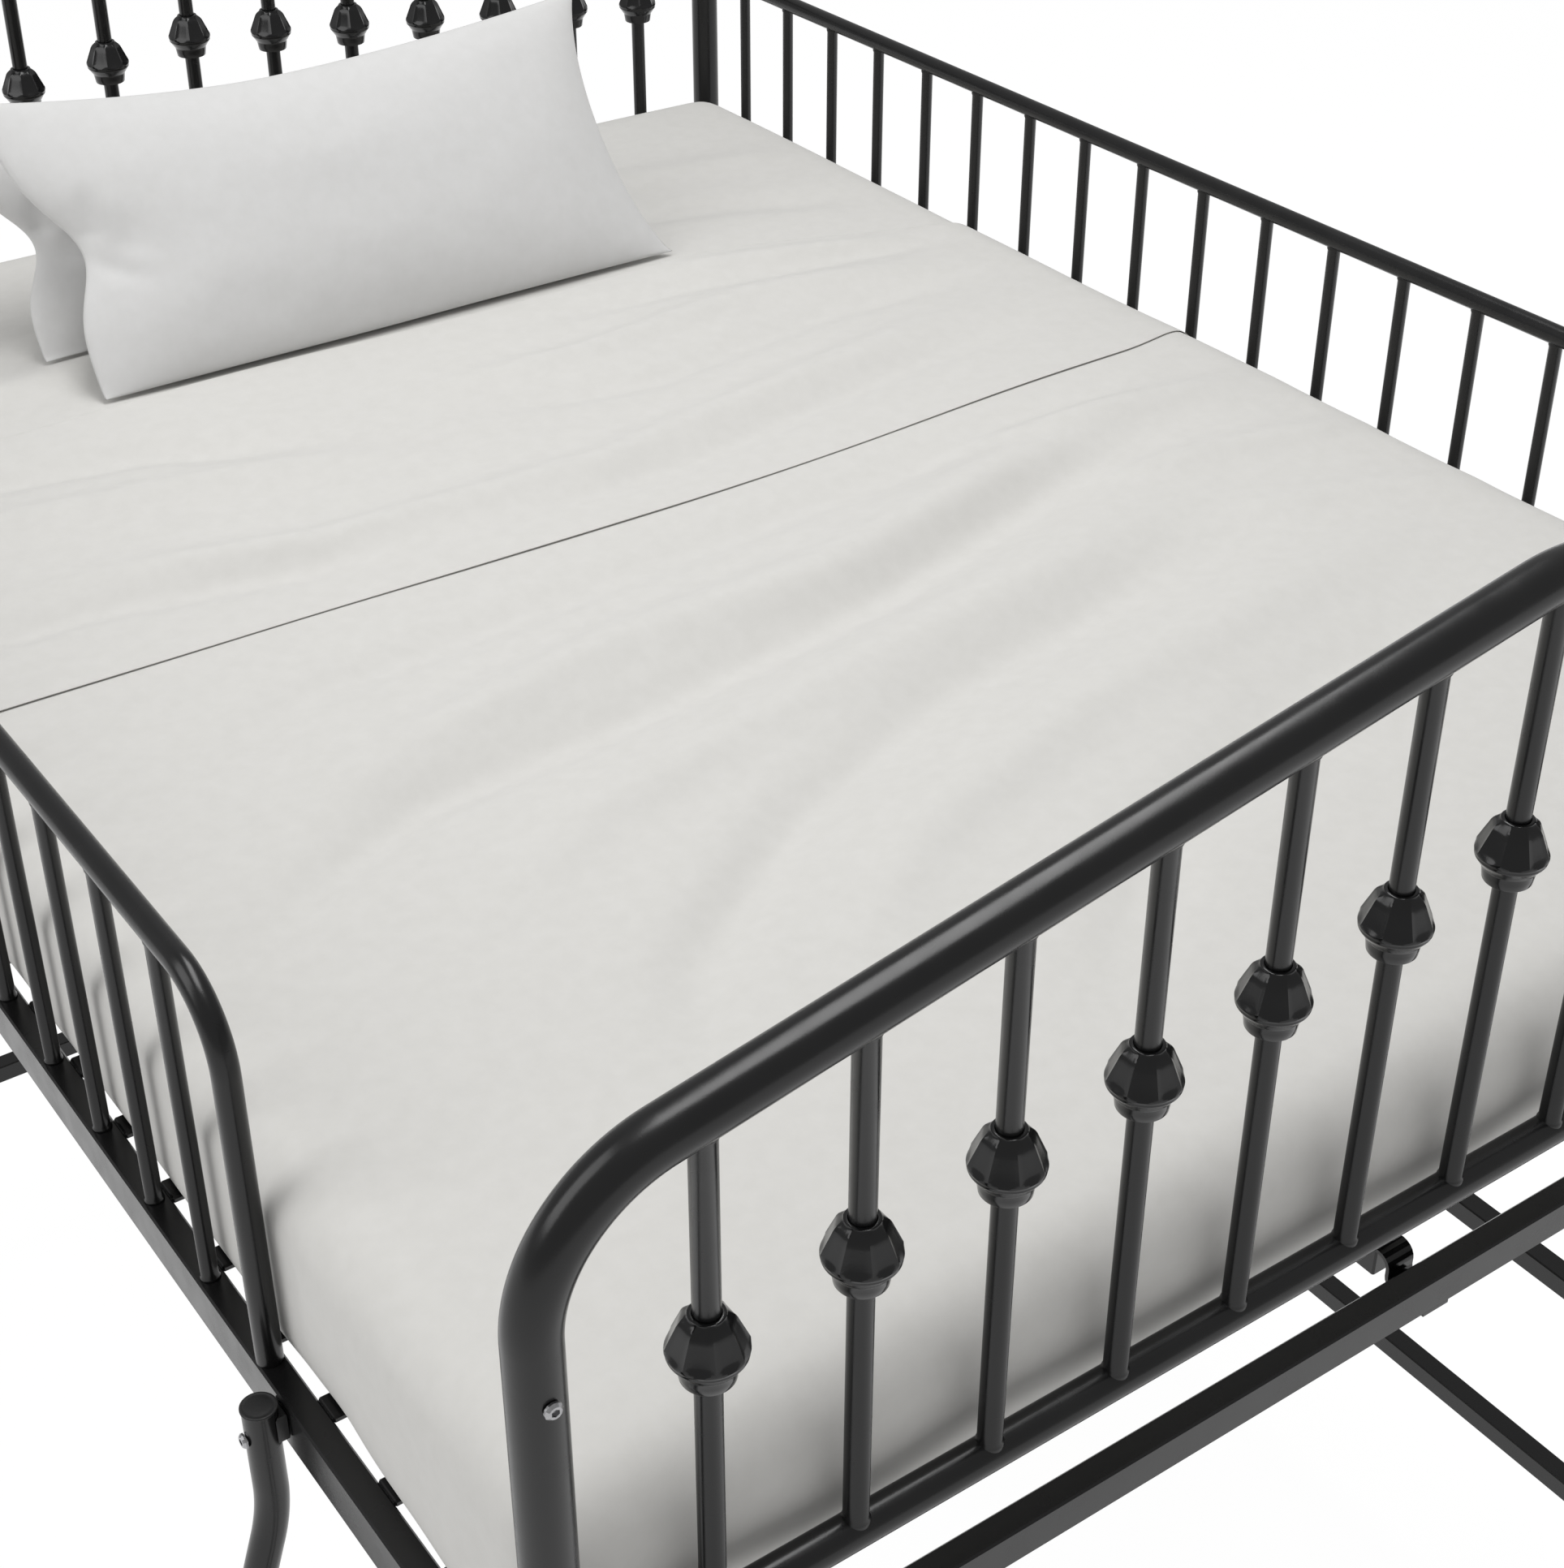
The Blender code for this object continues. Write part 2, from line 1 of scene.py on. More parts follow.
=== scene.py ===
"""Looks of the metal loft bed: powder-coated tubes, cast knobs, made-up bedding and two pillows."""

import math

import bmesh
import bpy
import numpy as np
from mathutils.bvhtree import BVHTree
from mathutils import Matrix, Vector, noise


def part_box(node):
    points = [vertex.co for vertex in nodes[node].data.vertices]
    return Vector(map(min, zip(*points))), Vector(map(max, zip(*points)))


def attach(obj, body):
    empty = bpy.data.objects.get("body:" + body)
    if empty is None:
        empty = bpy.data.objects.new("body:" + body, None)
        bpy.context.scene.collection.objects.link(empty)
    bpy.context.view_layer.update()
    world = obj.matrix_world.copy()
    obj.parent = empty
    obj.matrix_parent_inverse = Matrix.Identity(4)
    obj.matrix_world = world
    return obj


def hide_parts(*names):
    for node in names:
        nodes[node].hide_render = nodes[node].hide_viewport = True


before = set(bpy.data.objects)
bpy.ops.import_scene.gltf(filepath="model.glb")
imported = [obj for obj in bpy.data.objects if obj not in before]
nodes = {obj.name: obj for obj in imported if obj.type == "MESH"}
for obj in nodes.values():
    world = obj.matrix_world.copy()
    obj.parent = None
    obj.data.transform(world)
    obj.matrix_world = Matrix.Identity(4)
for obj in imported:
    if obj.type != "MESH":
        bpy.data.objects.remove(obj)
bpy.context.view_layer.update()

# ---------------------------------------------------------------- places taken from the frame
hoop_low, hoop_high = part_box("footboard_hoop")
head_low, head_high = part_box("headboard_hoop")
bed_low, bed_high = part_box("mattress")
TUBE_R = (hoop_high.y - hoop_low.y) / 2
LEG_X = hoop_low.x + TUBE_R
FAR_LEG_X = hoop_high.x - TUBE_R
FOOT_Y = (hoop_low.y + hoop_high.y) / 2
HEAD_Y = (head_low.y + head_high.y) / 2
WIDTH = FAR_LEG_X - LEG_X
LENGTH = HEAD_Y - FOOT_Y


def bed(x, y, z):
    """A point given from the near foot leg's axis, with height over the floor."""
    return Vector((LEG_X + x, FOOT_Y + y, z))


# ---------------------------------------------------------------- node helpers
class Nodes:
    """Short-hand for building a material's node tree."""

    def __init__(self, name):
        self.material = bpy.data.materials.new(name)
        self.material.use_nodes = True
        self.tree = self.material.node_tree
        self.shader = self.tree.nodes["Principled BSDF"]
        self.coords = self.tree.nodes.new("ShaderNodeTexCoord").outputs["Object"]

    def link(self, source, target):
        self.tree.links.new(source, target)

    def set(self, **values):
        for key, value in values.items():
            self.shader.inputs[key.replace("_", " ")].default_value = value

    def noise(self, scale, detail=2.0, roughness=0.5, stretch=None):
        node = self.tree.nodes.new("ShaderNodeTexNoise")
        node.inputs["Scale"].default_value = scale
        node.inputs["Detail"].default_value = detail
        node.inputs["Roughness"].default_value = roughness
        source = self.coords
        if stretch:
            mapping = self.tree.nodes.new("ShaderNodeMapping")
            mapping.inputs["Scale"].default_value = stretch
            self.link(source, mapping.inputs["Vector"])
            source = mapping.outputs["Vector"]
        self.link(source, node.inputs["Vector"])
        return node.outputs["Fac"]

    def wave(self, scale, direction, distortion=0.0):
        node = self.tree.nodes.new("ShaderNodeTexWave")
        node.wave_type = "BANDS"
        node.bands_direction = direction
        node.inputs["Scale"].default_value = scale
        node.inputs["Distortion"].default_value = distortion
        self.link(self.coords, node.inputs["Vector"])
        return node.outputs["Fac"]

    def math(self, operation, first, second):
        node = self.tree.nodes.new("ShaderNodeMath")
        node.operation = operation
        for socket, value in zip(node.inputs, (first, second)):
            if isinstance(value, (int, float)):
                socket.default_value = value
            else:
                self.link(value, socket)
        return node.outputs["Value"]

    def spread(self, source, low, high, out_low, out_high):
        node = self.tree.nodes.new("ShaderNodeMapRange")
        node.inputs["From Min"].default_value = low
        node.inputs["From Max"].default_value = high
        node.inputs["To Min"].default_value = out_low
        node.inputs["To Max"].default_value = out_high
        self.link(source, node.inputs["Value"])
        return node.outputs["Result"]

    def blend(self, factor, first, second):
        node = self.tree.nodes.new("ShaderNodeMix")
        node.data_type = "RGBA"
        node.inputs["A"].default_value = (*first, 1)
        node.inputs["B"].default_value = (*second, 1)
        self.link(factor, node.inputs["Factor"])
        return node.outputs["Result"]

    def bump(self, height, strength, distance, before=None):
        node = self.tree.nodes.new("ShaderNodeBump")
        node.inputs["Strength"].default_value = strength
        node.inputs["Distance"].default_value = distance
        self.link(height, node.inputs["Height"])
        if before is not None:
            self.link(before, node.inputs["Normal"])
        return node.outputs["Normal"]


def powder_coat(name, dark, light, rough_low, rough_high, peel):
    """Black powder coat: faint orange peel, a little unevenness in tone and gloss."""
    look = Nodes(name)
    tone = look.noise(9.0, 3.0)
    look.link(look.blend(look.spread(tone, 0.35, 0.65, 0, 1), dark, light), look.shader.inputs["Base Color"])
    gloss = look.noise(38.0, 2.0)
    look.link(look.spread(gloss, 0.3, 0.7, rough_low, rough_high), look.shader.inputs["Roughness"])
    fine = look.bump(look.noise(900.0, 2.0), peel, 0.0002)
    broad = look.bump(look.noise(140.0, 1.0), peel * 0.6, 0.0004, fine)
    look.link(broad, look.shader.inputs["Normal"])
    look.shader.inputs["Specular IOR Level"].default_value = 0.40
    return look.material


def zinc(name):
    look = Nodes(name)
    tone = look.noise(400.0, 3.0)
    look.link(look.blend(tone, (0.30, 0.30, 0.31), (0.46, 0.46, 0.47)), look.shader.inputs["Base Color"])
    look.set(Metallic=1.0)
    look.link(look.spread(tone, 0.3, 0.7, 0.22, 0.38), look.shader.inputs["Roughness"])
    look.link(look.bump(look.noise(1500.0, 1.0), 0.1, 0.0002), look.shader.inputs["Normal"])
    return look.material


def plastic(name, tone, low, high):
    look = Nodes(name)
    grain = look.noise(700.0, 2.0)
    lighter = tuple(c * 1.35 for c in tone)
    look.link(look.blend(grain, tone, lighter), look.shader.inputs["Base Color"])
    look.link(look.spread(grain, 0.3, 0.7, low, high), look.shader.inputs["Roughness"])
    look.link(look.bump(grain, 0.2, 0.0002), look.shader.inputs["Normal"])
    return look.material


def cotton(name, shade, light, weave=1500.0, bump=0.10, soften=0.25):
    """Smooth woven cotton: fine over-and-under threads, faint slubs and a soft sheen."""
    look = Nodes(name)
    slub = look.noise(60.0, 3.0, 0.6)
    look.link(look.blend(look.spread(slub, 0.3, 0.7, 0, 1), shade, light), look.shader.inputs["Base Color"])
    look.set(Roughness=0.85)
    look.shader.inputs["Specular IOR Level"].default_value = 0.25
    look.shader.inputs["Sheen Weight"].default_value = soften
    look.shader.inputs["Sheen Roughness"].default_value = 0.5
    threads = look.math("MULTIPLY", look.wave(weave, "X", 1.0), look.wave(weave, "Y", 1.0))
    upright = look.math("ADD", threads, look.math("MULTIPLY", look.wave(weave, "Z", 1.0), 0.5))
    fine = look.bump(upright, bump, 0.00025)
    soft = look.bump(look.noise(26.0, 2.0), 0.10, 0.002, fine)
    look.link(soft, look.shader.inputs["Normal"])
    return look.material


FRAME_PAINT = powder_coat("frame_paint", (0.0050, 0.0050, 0.0052), (0.0072, 0.0072, 0.0074), 0.21, 0.29, 0.10)
KNOB_PAINT = powder_coat("knob_paint", (0.0045, 0.0045, 0.0047), (0.0065, 0.0065, 0.0068), 0.14, 0.20, 0.08)
STRAP_PAINT = powder_coat("strap_paint", (0.0035, 0.0035, 0.0037), (0.005, 0.005, 0.0052), 0.12, 0.18, 0.06)
BOLT_ZINC = zinc("bolt_zinc")
CAP_PLASTIC = plastic("cap_mould", (0.007, 0.007, 0.0073), 0.42, 0.55)
SADDLE_PLASTIC = plastic("saddle_mould", (0.004, 0.004, 0.0042), 0.28, 0.38)
SHEET_COTTON = cotton("sheet_cotton_weave", (0.597, 0.589, 0.566), (0.621, 0.613, 0.591))
PILLOW_COTTON = cotton("pillow_cotton_weave", (0.612, 0.610, 0.604), (0.634, 0.632, 0.628))
TICKING = cotton("mattress_ticking_weave", (0.70, 0.69, 0.66), (0.76, 0.75, 0.72), weave=500.0, bump=0.3)


def dress_frame():
    for name, item in nodes.items():
        if "knob" in name:
            paint = KNOB_PAINT
        elif "hook" in name:
            paint = STRAP_PAINT
        elif "bolt" in name:
            paint = BOLT_ZINC
        elif "_cap_" in name:
            paint = CAP_PLASTIC
        elif "saddle" in name:
            paint = SADDLE_PLASTIC
        else:
            paint = FRAME_PAINT
        for place in item.material_slots:
            place.material = paint


# ---------------------------------------------------------------- mesh helpers
def mesh_object(name, points, faces, look, smooth=True):
    mesh = bpy.data.meshes.new(name)
    mesh.from_pydata([tuple(p) for p in points], [], faces)
    mesh.update()
    if smooth:
        mesh.shade_smooth()
    mesh.materials.append(look)
    item = bpy.data.objects.new(name, mesh)
    bpy.context.collection.objects.link(item)
    return item


def apply_modifiers(item):
    """Bake an object's modifiers into its mesh."""
    graph = bpy.context.evaluated_depsgraph_get()
    graph.update()
    mesh = bpy.data.meshes.new_from_object(item.evaluated_get(graph), depsgraph=graph)
    old = item.data
    item.modifiers.clear()
    item.data = mesh
    bpy.data.meshes.remove(old)
    mesh.shade_smooth()
    return item


def points_of(item):
    flat = np.empty(len(item.data.vertices) * 3, np.float64)
    item.data.vertices.foreach_get("co", flat)
    return flat.reshape(-1, 3)


def put_points(item, points):
    item.data.vertices.foreach_set("co", np.asarray(points, np.float64).reshape(-1))
    item.data.update()


# ---------------------------------------------------------------- cast knobs
KNOB_OUTLINE = [
    (0.0084, -0.0196, 0.0), (0.0096, -0.0204, 0.0), (0.0150, -0.0205, 0.0), (0.0156, -0.0203, 0.0),
    (0.0159, -0.0198, 0.0), (0.0166, -0.0150, 0.0), (0.0172, -0.0112, 0.0), (0.0174, -0.0104, 0.0),
    (0.0180, -0.0098, 0.0), (0.0212, -0.0050, 0.0), (0.0222, -0.0038, 0.0), (0.0226, -0.0032, 0.0),
    (0.0228, -0.0024, 0.0), (0.0226, -0.0016, 0.0), (0.0229, -0.0008, 0.0), (0.0233, 0.0002, 0.1),
    (0.0231, 0.0014, 0.4), (0.0226, 0.0028, 0.9), (0.0216, 0.0050, 1.0), (0.0194, 0.0104, 1.0),
    (0.0172, 0.0156, 1.0), (0.0160, 0.0186, 1.0), (0.0148, 0.0206, 1.0), (0.0132, 0.0224, 1.0),
    (0.0118, 0.0236, 0.6), (0.0109, 0.0244, 0.1), (0.0106, 0.0252, 0.0), (0.0099, 0.0256, 0.0),
    (0.0084, 0.0256, 0.0),
]
KNOB_STEPS = 64


def knob_mesh():
    """Eight-panelled casting: round rims, flat panels between slim ribs."""
    points, faces = [], []
    for radius, height, flat in KNOB_OUTLINE:
        for step in range(KNOB_STEPS):
            turn = 2 * math.pi * step / KNOB_STEPS
            within = (turn + math.pi / 8) % (math.pi / 4) - math.pi / 8
            panel = min(1.0, math.cos(math.pi / 8) / math.cos(within) + 0.012)
            rib = 0.026 * math.exp(-(((abs(within) - math.pi / 8) / 0.045) ** 2))
            reach = radius * (1 - flat * (1 - panel) + flat * rib)
            points.append((reach * math.cos(turn), reach * math.sin(turn), height))
    for row in range(len(KNOB_OUTLINE) - 1):
        for step in range(KNOB_STEPS):
            after = (step + 1) % KNOB_STEPS
            faces.append((row * KNOB_STEPS + step, row * KNOB_STEPS + after,
                          (row + 1) * KNOB_STEPS + after, (row + 1) * KNOB_STEPS + step))
    last = (len(KNOB_OUTLINE) - 1) * KNOB_STEPS
    for step in range(KNOB_STEPS):
        after = (step + 1) % KNOB_STEPS
        faces.append((last + step, last + after, after, step))
    mesh = bpy.data.meshes.new("knob_casting")
    mesh.from_pydata(points, [], faces)
    mesh.shade_smooth()
    mesh.set_sharp_from_angle(angle=math.radians(38))
    mesh.materials.append(KNOB_PAINT)
    return mesh


def make_knobs():
    mesh = knob_mesh()
    for name in sorted(nodes):
        if "knob" not in name:
            continue
        low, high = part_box(name)
        item = bpy.data.objects.new(name.replace("_knob_", "_casting_"), mesh)
        bpy.context.collection.objects.link(item)
        middle = (low + high) / 2
        item.location = (middle.x, middle.y, low.z + 0.0205)
        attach(item, "frame")
        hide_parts(name)


# ---------------------------------------------------------------- round tubes
HOOP_SIDES = 64
BAR_SIDES = 32
SHOULDER_SLOPE = math.atan(0.177)
CORNER_R = 0.095
APEX_R = 0.140


def tube_mesh(points, faces, route, radii, sides, hint):
    """Adds a round bar along a route; radii may differ from point to point."""
    start, last = len(points), len(route) - 1
    for index, (point, radius) in enumerate(zip(route, radii)):
        before = (point - route[index - 1]).normalized() if index else None
        after = (route[index + 1] - point).normalized() if index < last else None
        run = ((before or after) + (after or before)).normalized()
        across = (hint - run * hint.dot(run)).normalized()
        other = run.cross(across)
        stretch = 1 / max(0.5, run.dot(after or before))
        for step in range(sides):
            turn = 2 * math.pi * step / sides
            side = across * (radius * math.cos(turn))
            points.append(point + side + other * (radius * stretch * math.sin(turn)))
    for ring in range(last):
        for step in range(sides):
            here, beyond = start + ring * sides, start + (ring + 1) * sides
            after = (step + 1) % sides
            faces.append((here + step, here + after, beyond + after, beyond + step))
    faces.append(tuple(reversed(range(start, start + sides))))
    faces.append(tuple(range(start + last * sides, start + (last + 1) * sides)))


def finish_tubes(name, points, faces, node, look=None):
    item = mesh_object(name, points, faces, look or FRAME_PAINT)
    item.data.set_sharp_from_angle(angle=math.radians(40))
    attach(item, "frame")
    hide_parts(node)
    return item


def bend(centre, radius, start, end, steps):
    turns = [start + (end - start) * step / steps for step in range(steps + 1)]
    return [(centre[0] + radius * math.cos(turn), centre[1] + radius * math.sin(turn)) for turn in turns]


def hoop_route(top):
    """Centre line of an end panel's bent tube as x, z pairs in the plan; top is its highest centre point."""
    middle = WIDTH / 2
    apex_drop = APEX_R / math.cos(SHOULDER_SLOPE) - APEX_R
    ridge = top + apex_drop
    def arch(x):
        return ridge - abs(middle - x) * math.tan(SHOULDER_SLOPE)
    turn_x = CORNER_R * (1 - math.sin(SHOULDER_SLOPE))
    leg_top = arch(turn_x) - CORNER_R * math.cos(SHOULDER_SLOPE)
    corner = bend((CORNER_R, leg_top), CORNER_R, math.pi, math.pi / 2 + SHOULDER_SLOPE, 28)
    apex = bend((middle, ridge - APEX_R / math.cos(SHOULDER_SLOPE)), APEX_R,
                math.pi / 2 + SHOULDER_SLOPE, math.pi / 2, 6)
    left = [(0, 0)] + corner + apex
    return left + [(WIDTH - x, z) for x, z in reversed(left[:-1])]


def make_hoops():
    for side in ("footboard", "headboard"):
        low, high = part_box(side + "_hoop")
        y = (low.y + high.y) / 2
        route = [Vector((LEG_X + x, y, z)) for x, z in hoop_route(high.z - TUBE_R)]
        points, faces = [], []
        tube_mesh(points, faces, route, [TUBE_R] * len(route), HOOP_SIDES, Vector((0, 1, 0)))
        finish_tubes(side + "_bent_tube", points, faces, side + "_hoop")


def weld_radii(radius, low_z, high_z, foot_z, head_z):
    """Heights and radii of an upright with a small weld fillet where it meets its tubes."""
    steps = [(low_z, 1.16), (foot_z, 1.16), (foot_z + 0.0012, 1.13), (foot_z + 0.0030, 1.0)]
    steps += [(head_z - 0.0026, 1.0), (head_z - 0.0010, 1.12), (head_z, 1.14), (high_z, 1.14)]
    return [z for z, _ in steps], [radius * k for _, k in steps]


def make_grilles():
    for side in ("footboard", "headboard"):
        low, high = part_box(side + "_grille")
        y = (low.y + high.y) / 2
        rail_r = (high.y - low.y) / 2
        rail_z = low.z + rail_r
        points, faces = [], []
        rail = [Vector((low.x, y, rail_z)), Vector((high.x, y, rail_z))]
        tube_mesh(points, faces, rail, [rail_r] * 2, 48, Vector((0, 1, 0)))
        _, hoop_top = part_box(side + "_hoop")
        outline = hoop_route(hoop_top.z - TUBE_R)
        for index in range(1, 14):
            knob_low, knob_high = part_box(f"{side}_knob_{index:02d}")
            x = (knob_low.x + knob_high.x) / 2
            plan_x = x - LEG_X
            for (ax, az), (bx, bz) in zip(outline, outline[1:]):
                if ax <= plan_x <= bx:
                    centre_z = az + (bz - az) * (plan_x - ax) / max(bx - ax, 1e-9)
            foot, head = rail_z + rail_r * 0.80, centre_z - TUBE_R * 0.92
            heights, radii = weld_radii(0.008, rail_z, centre_z, foot, head)
            route = [Vector((x, y, z)) for z in heights]
            tube_mesh(points, faces, route, radii, BAR_SIDES, Vector((0, 1, 0)))
        finish_tubes(side + "_welded_grille", points, faces, side + "_grille")


def make_guards():
    for node, skip in (("guard_far", None), ("guard_near", 4)):
        low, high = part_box(node)
        x = (low.x + high.x) / 2
        top_r = (high.x - low.x) / 2
        top_z = high.z - top_r
        route = [(low.y, top_z), (high.y, top_z)]
        if skip:
            post_y, corner = low.y + top_r, 0.055
            route = [(post_y, low.z)] + bend((post_y + corner, top_z - corner), corner,
                                             math.pi, math.pi / 2, 24) + [(high.y, top_z)]
        points, faces = [], []
        path = [Vector((x, y, z)) for y, z in route]
        tube_mesh(points, faces, path, [top_r] * len(path), 48, Vector((1, 0, 0)))
        for index in range(skip or 0, 20):
            y = FOOT_Y + LENGTH * (index + 1) / 21
            foot, head = low.z + 0.0004, top_z - top_r * 0.90
            heights, radii = weld_radii(0.00635, low.z, top_z, foot, head)
            bar = [Vector((x, y, z)) for z in heights]
            tube_mesh(points, faces, bar, radii, BAR_SIDES, Vector((1, 0, 0)))
        finish_tubes(node + "_welded_rail", points, faces, node)


def lathe(points, faces, outline, place, axis, sides=48):
    """Adds a turned form: outline is a list of radius and distance along the axis."""
    axis = axis.normalized()
    across = axis.orthogonal().normalized()
    other = axis.cross(across)
    start = len(points)
    for radius, along in outline:
        for step in range(sides):
            turn = 2 * math.pi * step / sides
            side = across * (radius * math.cos(turn))
            points.append(place + axis * along + side + other * (radius * math.sin(turn)))
    for ring in range(len(outline) - 1):
        for step in range(sides):
            after = (step + 1) % sides
            here, beyond = start + ring * sides, start + (ring + 1) * sides
            faces.append((here + step, here + after, beyond + after, beyond + step))
    faces.append(tuple(reversed(range(start, start + sides))))
    faces.append(tuple(range(start + (len(outline) - 1) * sides, start + len(outline) * sides)))


def make_caps():
    """Push-in end plugs, drawn as their visible head: a domed disc with a rolled rim."""
    for end in ("front", "rear"):
        low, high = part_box("ladder_cap_" + end)
        radius = (high.x - low.x) / 2
        place = Vector(((low.x + high.x) / 2, (low.y + high.y) / 2, low.z))
        rim = radius + 0.0004
        outline = [(radius * 0.6, 0.0), (rim - 0.0005, 0.0), (rim, 0.0005), (rim, 0.0013),
                   (rim - 0.0006, 0.0019),
                   (rim - 0.0016, 0.0020), (rim - 0.0022, 0.0016), (rim * 0.7, 0.0019), (rim * 0.35, 0.0022),
                   (0.0006, 0.0023)]
        points, faces = [], []
        lathe(points, faces, outline, place, Vector((0, 0, 1)))
        item = mesh_object(f"ladder_plug_{end}", points, faces, CAP_PLASTIC)
        item.data.set_sharp_from_angle(angle=math.radians(50))
        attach(item, "frame")
        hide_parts("ladder_cap_" + end)


def make_ladder():
    """Two bent side tubes with four rungs welded between them."""
    low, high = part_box("ladder_frame")
    cap_low, cap_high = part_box("ladder_cap_rear")
    tube_r = (cap_high.x - cap_low.x) / 2 - 0.0004
    top_x = (cap_low.x + cap_high.x) / 2
    lean, radius, bend_z = math.radians(17.5), 0.160, 1.198
    curve = bend((top_x - radius, bend_z), radius, 0, -lean, 16)
    end_x, end_z = curve[-1]
    foot = (end_x - end_z * math.tan(lean), 0.0)
    points, faces = [], []
    for y in (low.y + tube_r, high.y - tube_r):
        path = [Vector((x, y, z)) for x, z in [(top_x, high.z)] + curve + [foot]]
        tube_mesh(points, faces, path, [tube_r] * len(path), 48, Vector((0, 1, 0)))
        points[-48:] = [Vector((p.x, p.y, 0.0)) for p in points[-48:]]
    for index in range(4):
        z = 0.250 * (index + 1)
        x = foot[0] + z * math.tan(lean)
        stops = [(low.y + tube_r, 1.14), (low.y + 2 * tube_r - 0.0005, 1.14),
                 (low.y + 2 * tube_r + 0.003, 1.0)]
        stops += [(low.y + high.y - y, k) for y, k in reversed(stops)]
        path = [Vector((x, y, z)) for y, _ in stops]
        tube_mesh(points, faces, path, [0.0095 * k for _, k in stops], BAR_SIDES, Vector((0, 0, 1)))
    finish_tubes("ladder_welded_frame", points, faces, "ladder_frame")


# ---------------------------------------------------------------- bedding
EDGE_R = 0.038
LOW_R = 0.016
STEP = 0.0135
HEM_Y = 0.985
FOLD_Y = 1.470
RIM = 0.10


def smooth_step(low, high, value):
    part = np.clip((value - low) / (high - low), 0, 1)
    return part * part * (3 - 2 * part)


def fold_line(px, py, route, height, width):
    """A long soft fold (or, below zero, a hollow) that follows a route on the plan and fades at its ends."""
    best = np.full_like(px, 1e9)
    where = np.zeros_like(px)
    lengths = [math.dist(a, b) for a, b in zip(route, route[1:])]
    total, run = sum(lengths), 0.0
    for (ax, ay), (bx, by), length in zip(route, route[1:], lengths):
        along = np.clip(((px - ax) * (bx - ax) + (py - ay) * (by - ay)) / length**2, 0, 1)
        gap = np.hypot(px - ax - along * (bx - ax), py - ay - along * (by - ay))
        closer = gap < best
        where = np.where(closer, (run + along * length) / total, where)
        best = np.minimum(best, gap)
        run += length
    fade = smooth_step(0.0, 0.28, where) * (1 - smooth_step(0.72, 1.0, where))
    spread = width * (0.62 + 0.40 * where)
    return height * fade * np.exp(-((best / spread) ** 2))


LOWER_FOLDS = [
    ([(0.05, 0.50), (0.15, 0.62), (0.30, 0.69), (0.52, 0.71), (0.78, 0.74), (1.04, 0.81), (1.30, 0.85)],
     -0.0085, 0.034),
    ([(0.12, 0.68), (0.30, 0.76), (0.54, 0.80), (0.76, 0.80), (1.02, 0.86), (1.30, 0.90)],
     0.0080, 0.036),
    ([(0.20, 0.50), (0.40, 0.60), (0.66, 0.65), (0.92, 0.69), (1.20, 0.74)], 0.0060, 0.038),
    ([(0.26, 0.24), (0.36, 0.40), (0.53, 0.51), (0.72, 0.58), (0.95, 0.62), (1.20, 0.65)],
     -0.0075, 0.036),
    ([(0.40, 0.30), (0.58, 0.43), (0.80, 0.50), (1.05, 0.54), (1.30, 0.56)], 0.0060, 0.040),
    ([(0.52, 0.16), (0.72, 0.32), (0.95, 0.41), (1.25, 0.45)], -0.0050, 0.040),
    ([(0.06, 0.78), (0.30, 0.88), (0.62, 0.90), (1.00, 0.92), (1.34, 0.95)], -0.0050, 0.026),
    ([(0.95, 0.93), (1.15, 0.90), (1.39, 0.86)], 0.0055, 0.022),
    ([(1.05, 0.80), (1.22, 0.77), (1.39, 0.73)], 0.0050, 0.022),
    ([(1.10, 0.68), (1.26, 0.64), (1.39, 0.58)], 0.0035, 0.024),
]
UPPER_FOLDS = [
    ([(0.02, 1.36), (0.20, 1.39), (0.37, 1.36), (0.54, 1.27)], -0.0070, 0.026),
    ([(0.02, 1.30), (0.22, 1.30), (0.42, 1.26), (0.62, 1.20)], 0.0050, 0.026),
    ([(0.03, 1.10), (0.20, 1.11), (0.34, 1.08), (0.50, 1.045)], -0.0060, 0.024),
    ([(0.05, 1.17), (0.26, 1.15), (0.42, 1.10), (0.70, 1.09), (0.95, 1.13), (1.20, 1.17), (1.38, 1.19)],
     0.0065, 0.026),
    ([(0.55, 1.03), (0.80, 1.05), (1.05, 1.09), (1.32, 1.12)], -0.0045, 0.020),
    ([(0.62, 1.34), (0.82, 1.31), (1.05, 1.34), (1.30, 1.30)], 0.0060, 0.024),
    ([(0.60, 1.27), (0.85, 1.22), (1.10, 1.26), (1.36, 1.24)], -0.0050, 0.024),
    ([(0.78, 1.41), (1.00, 1.40), (1.22, 1.37), (1.38, 1.33)], -0.0045, 0.020),
    ([(0.98, 1.46), (1.14, 1.42), (1.32, 1.36)], 0.0040, 0.014),
]
HEAD_FOLDS = [
    ([(0.05, 1.60), (0.30, 1.57), (0.55, 1.60)], 0.0040, 0.030),
    ([(1.00, 1.62), (1.18, 1.58), (1.36, 1.50)], -0.0040, 0.026),
    ([(0.98, 1.74), (1.20, 1.70), (1.38, 1.66)], 0.0030, 0.030),
]


def roughness(place, scale, depth, seed):
    offset = Vector((seed, seed * 1.7, -seed))
    return depth * np.array([noise.noise(Vector(p) * scale + offset) for p in place])


FOLD_GAIN = 2.0


def low_edge(py):
    """How far the linen's lower edge on the ladder side stands out or in, along the bed."""
    out = 0.0046 * np.exp(-(((py - 0.155) / 0.080) ** 2)) - 0.0026 * np.exp(-(((py - 0.295) / 0.040) ** 2))
    return out + 0.0034 * np.exp(-(((py - 0.395) / 0.030) ** 2))


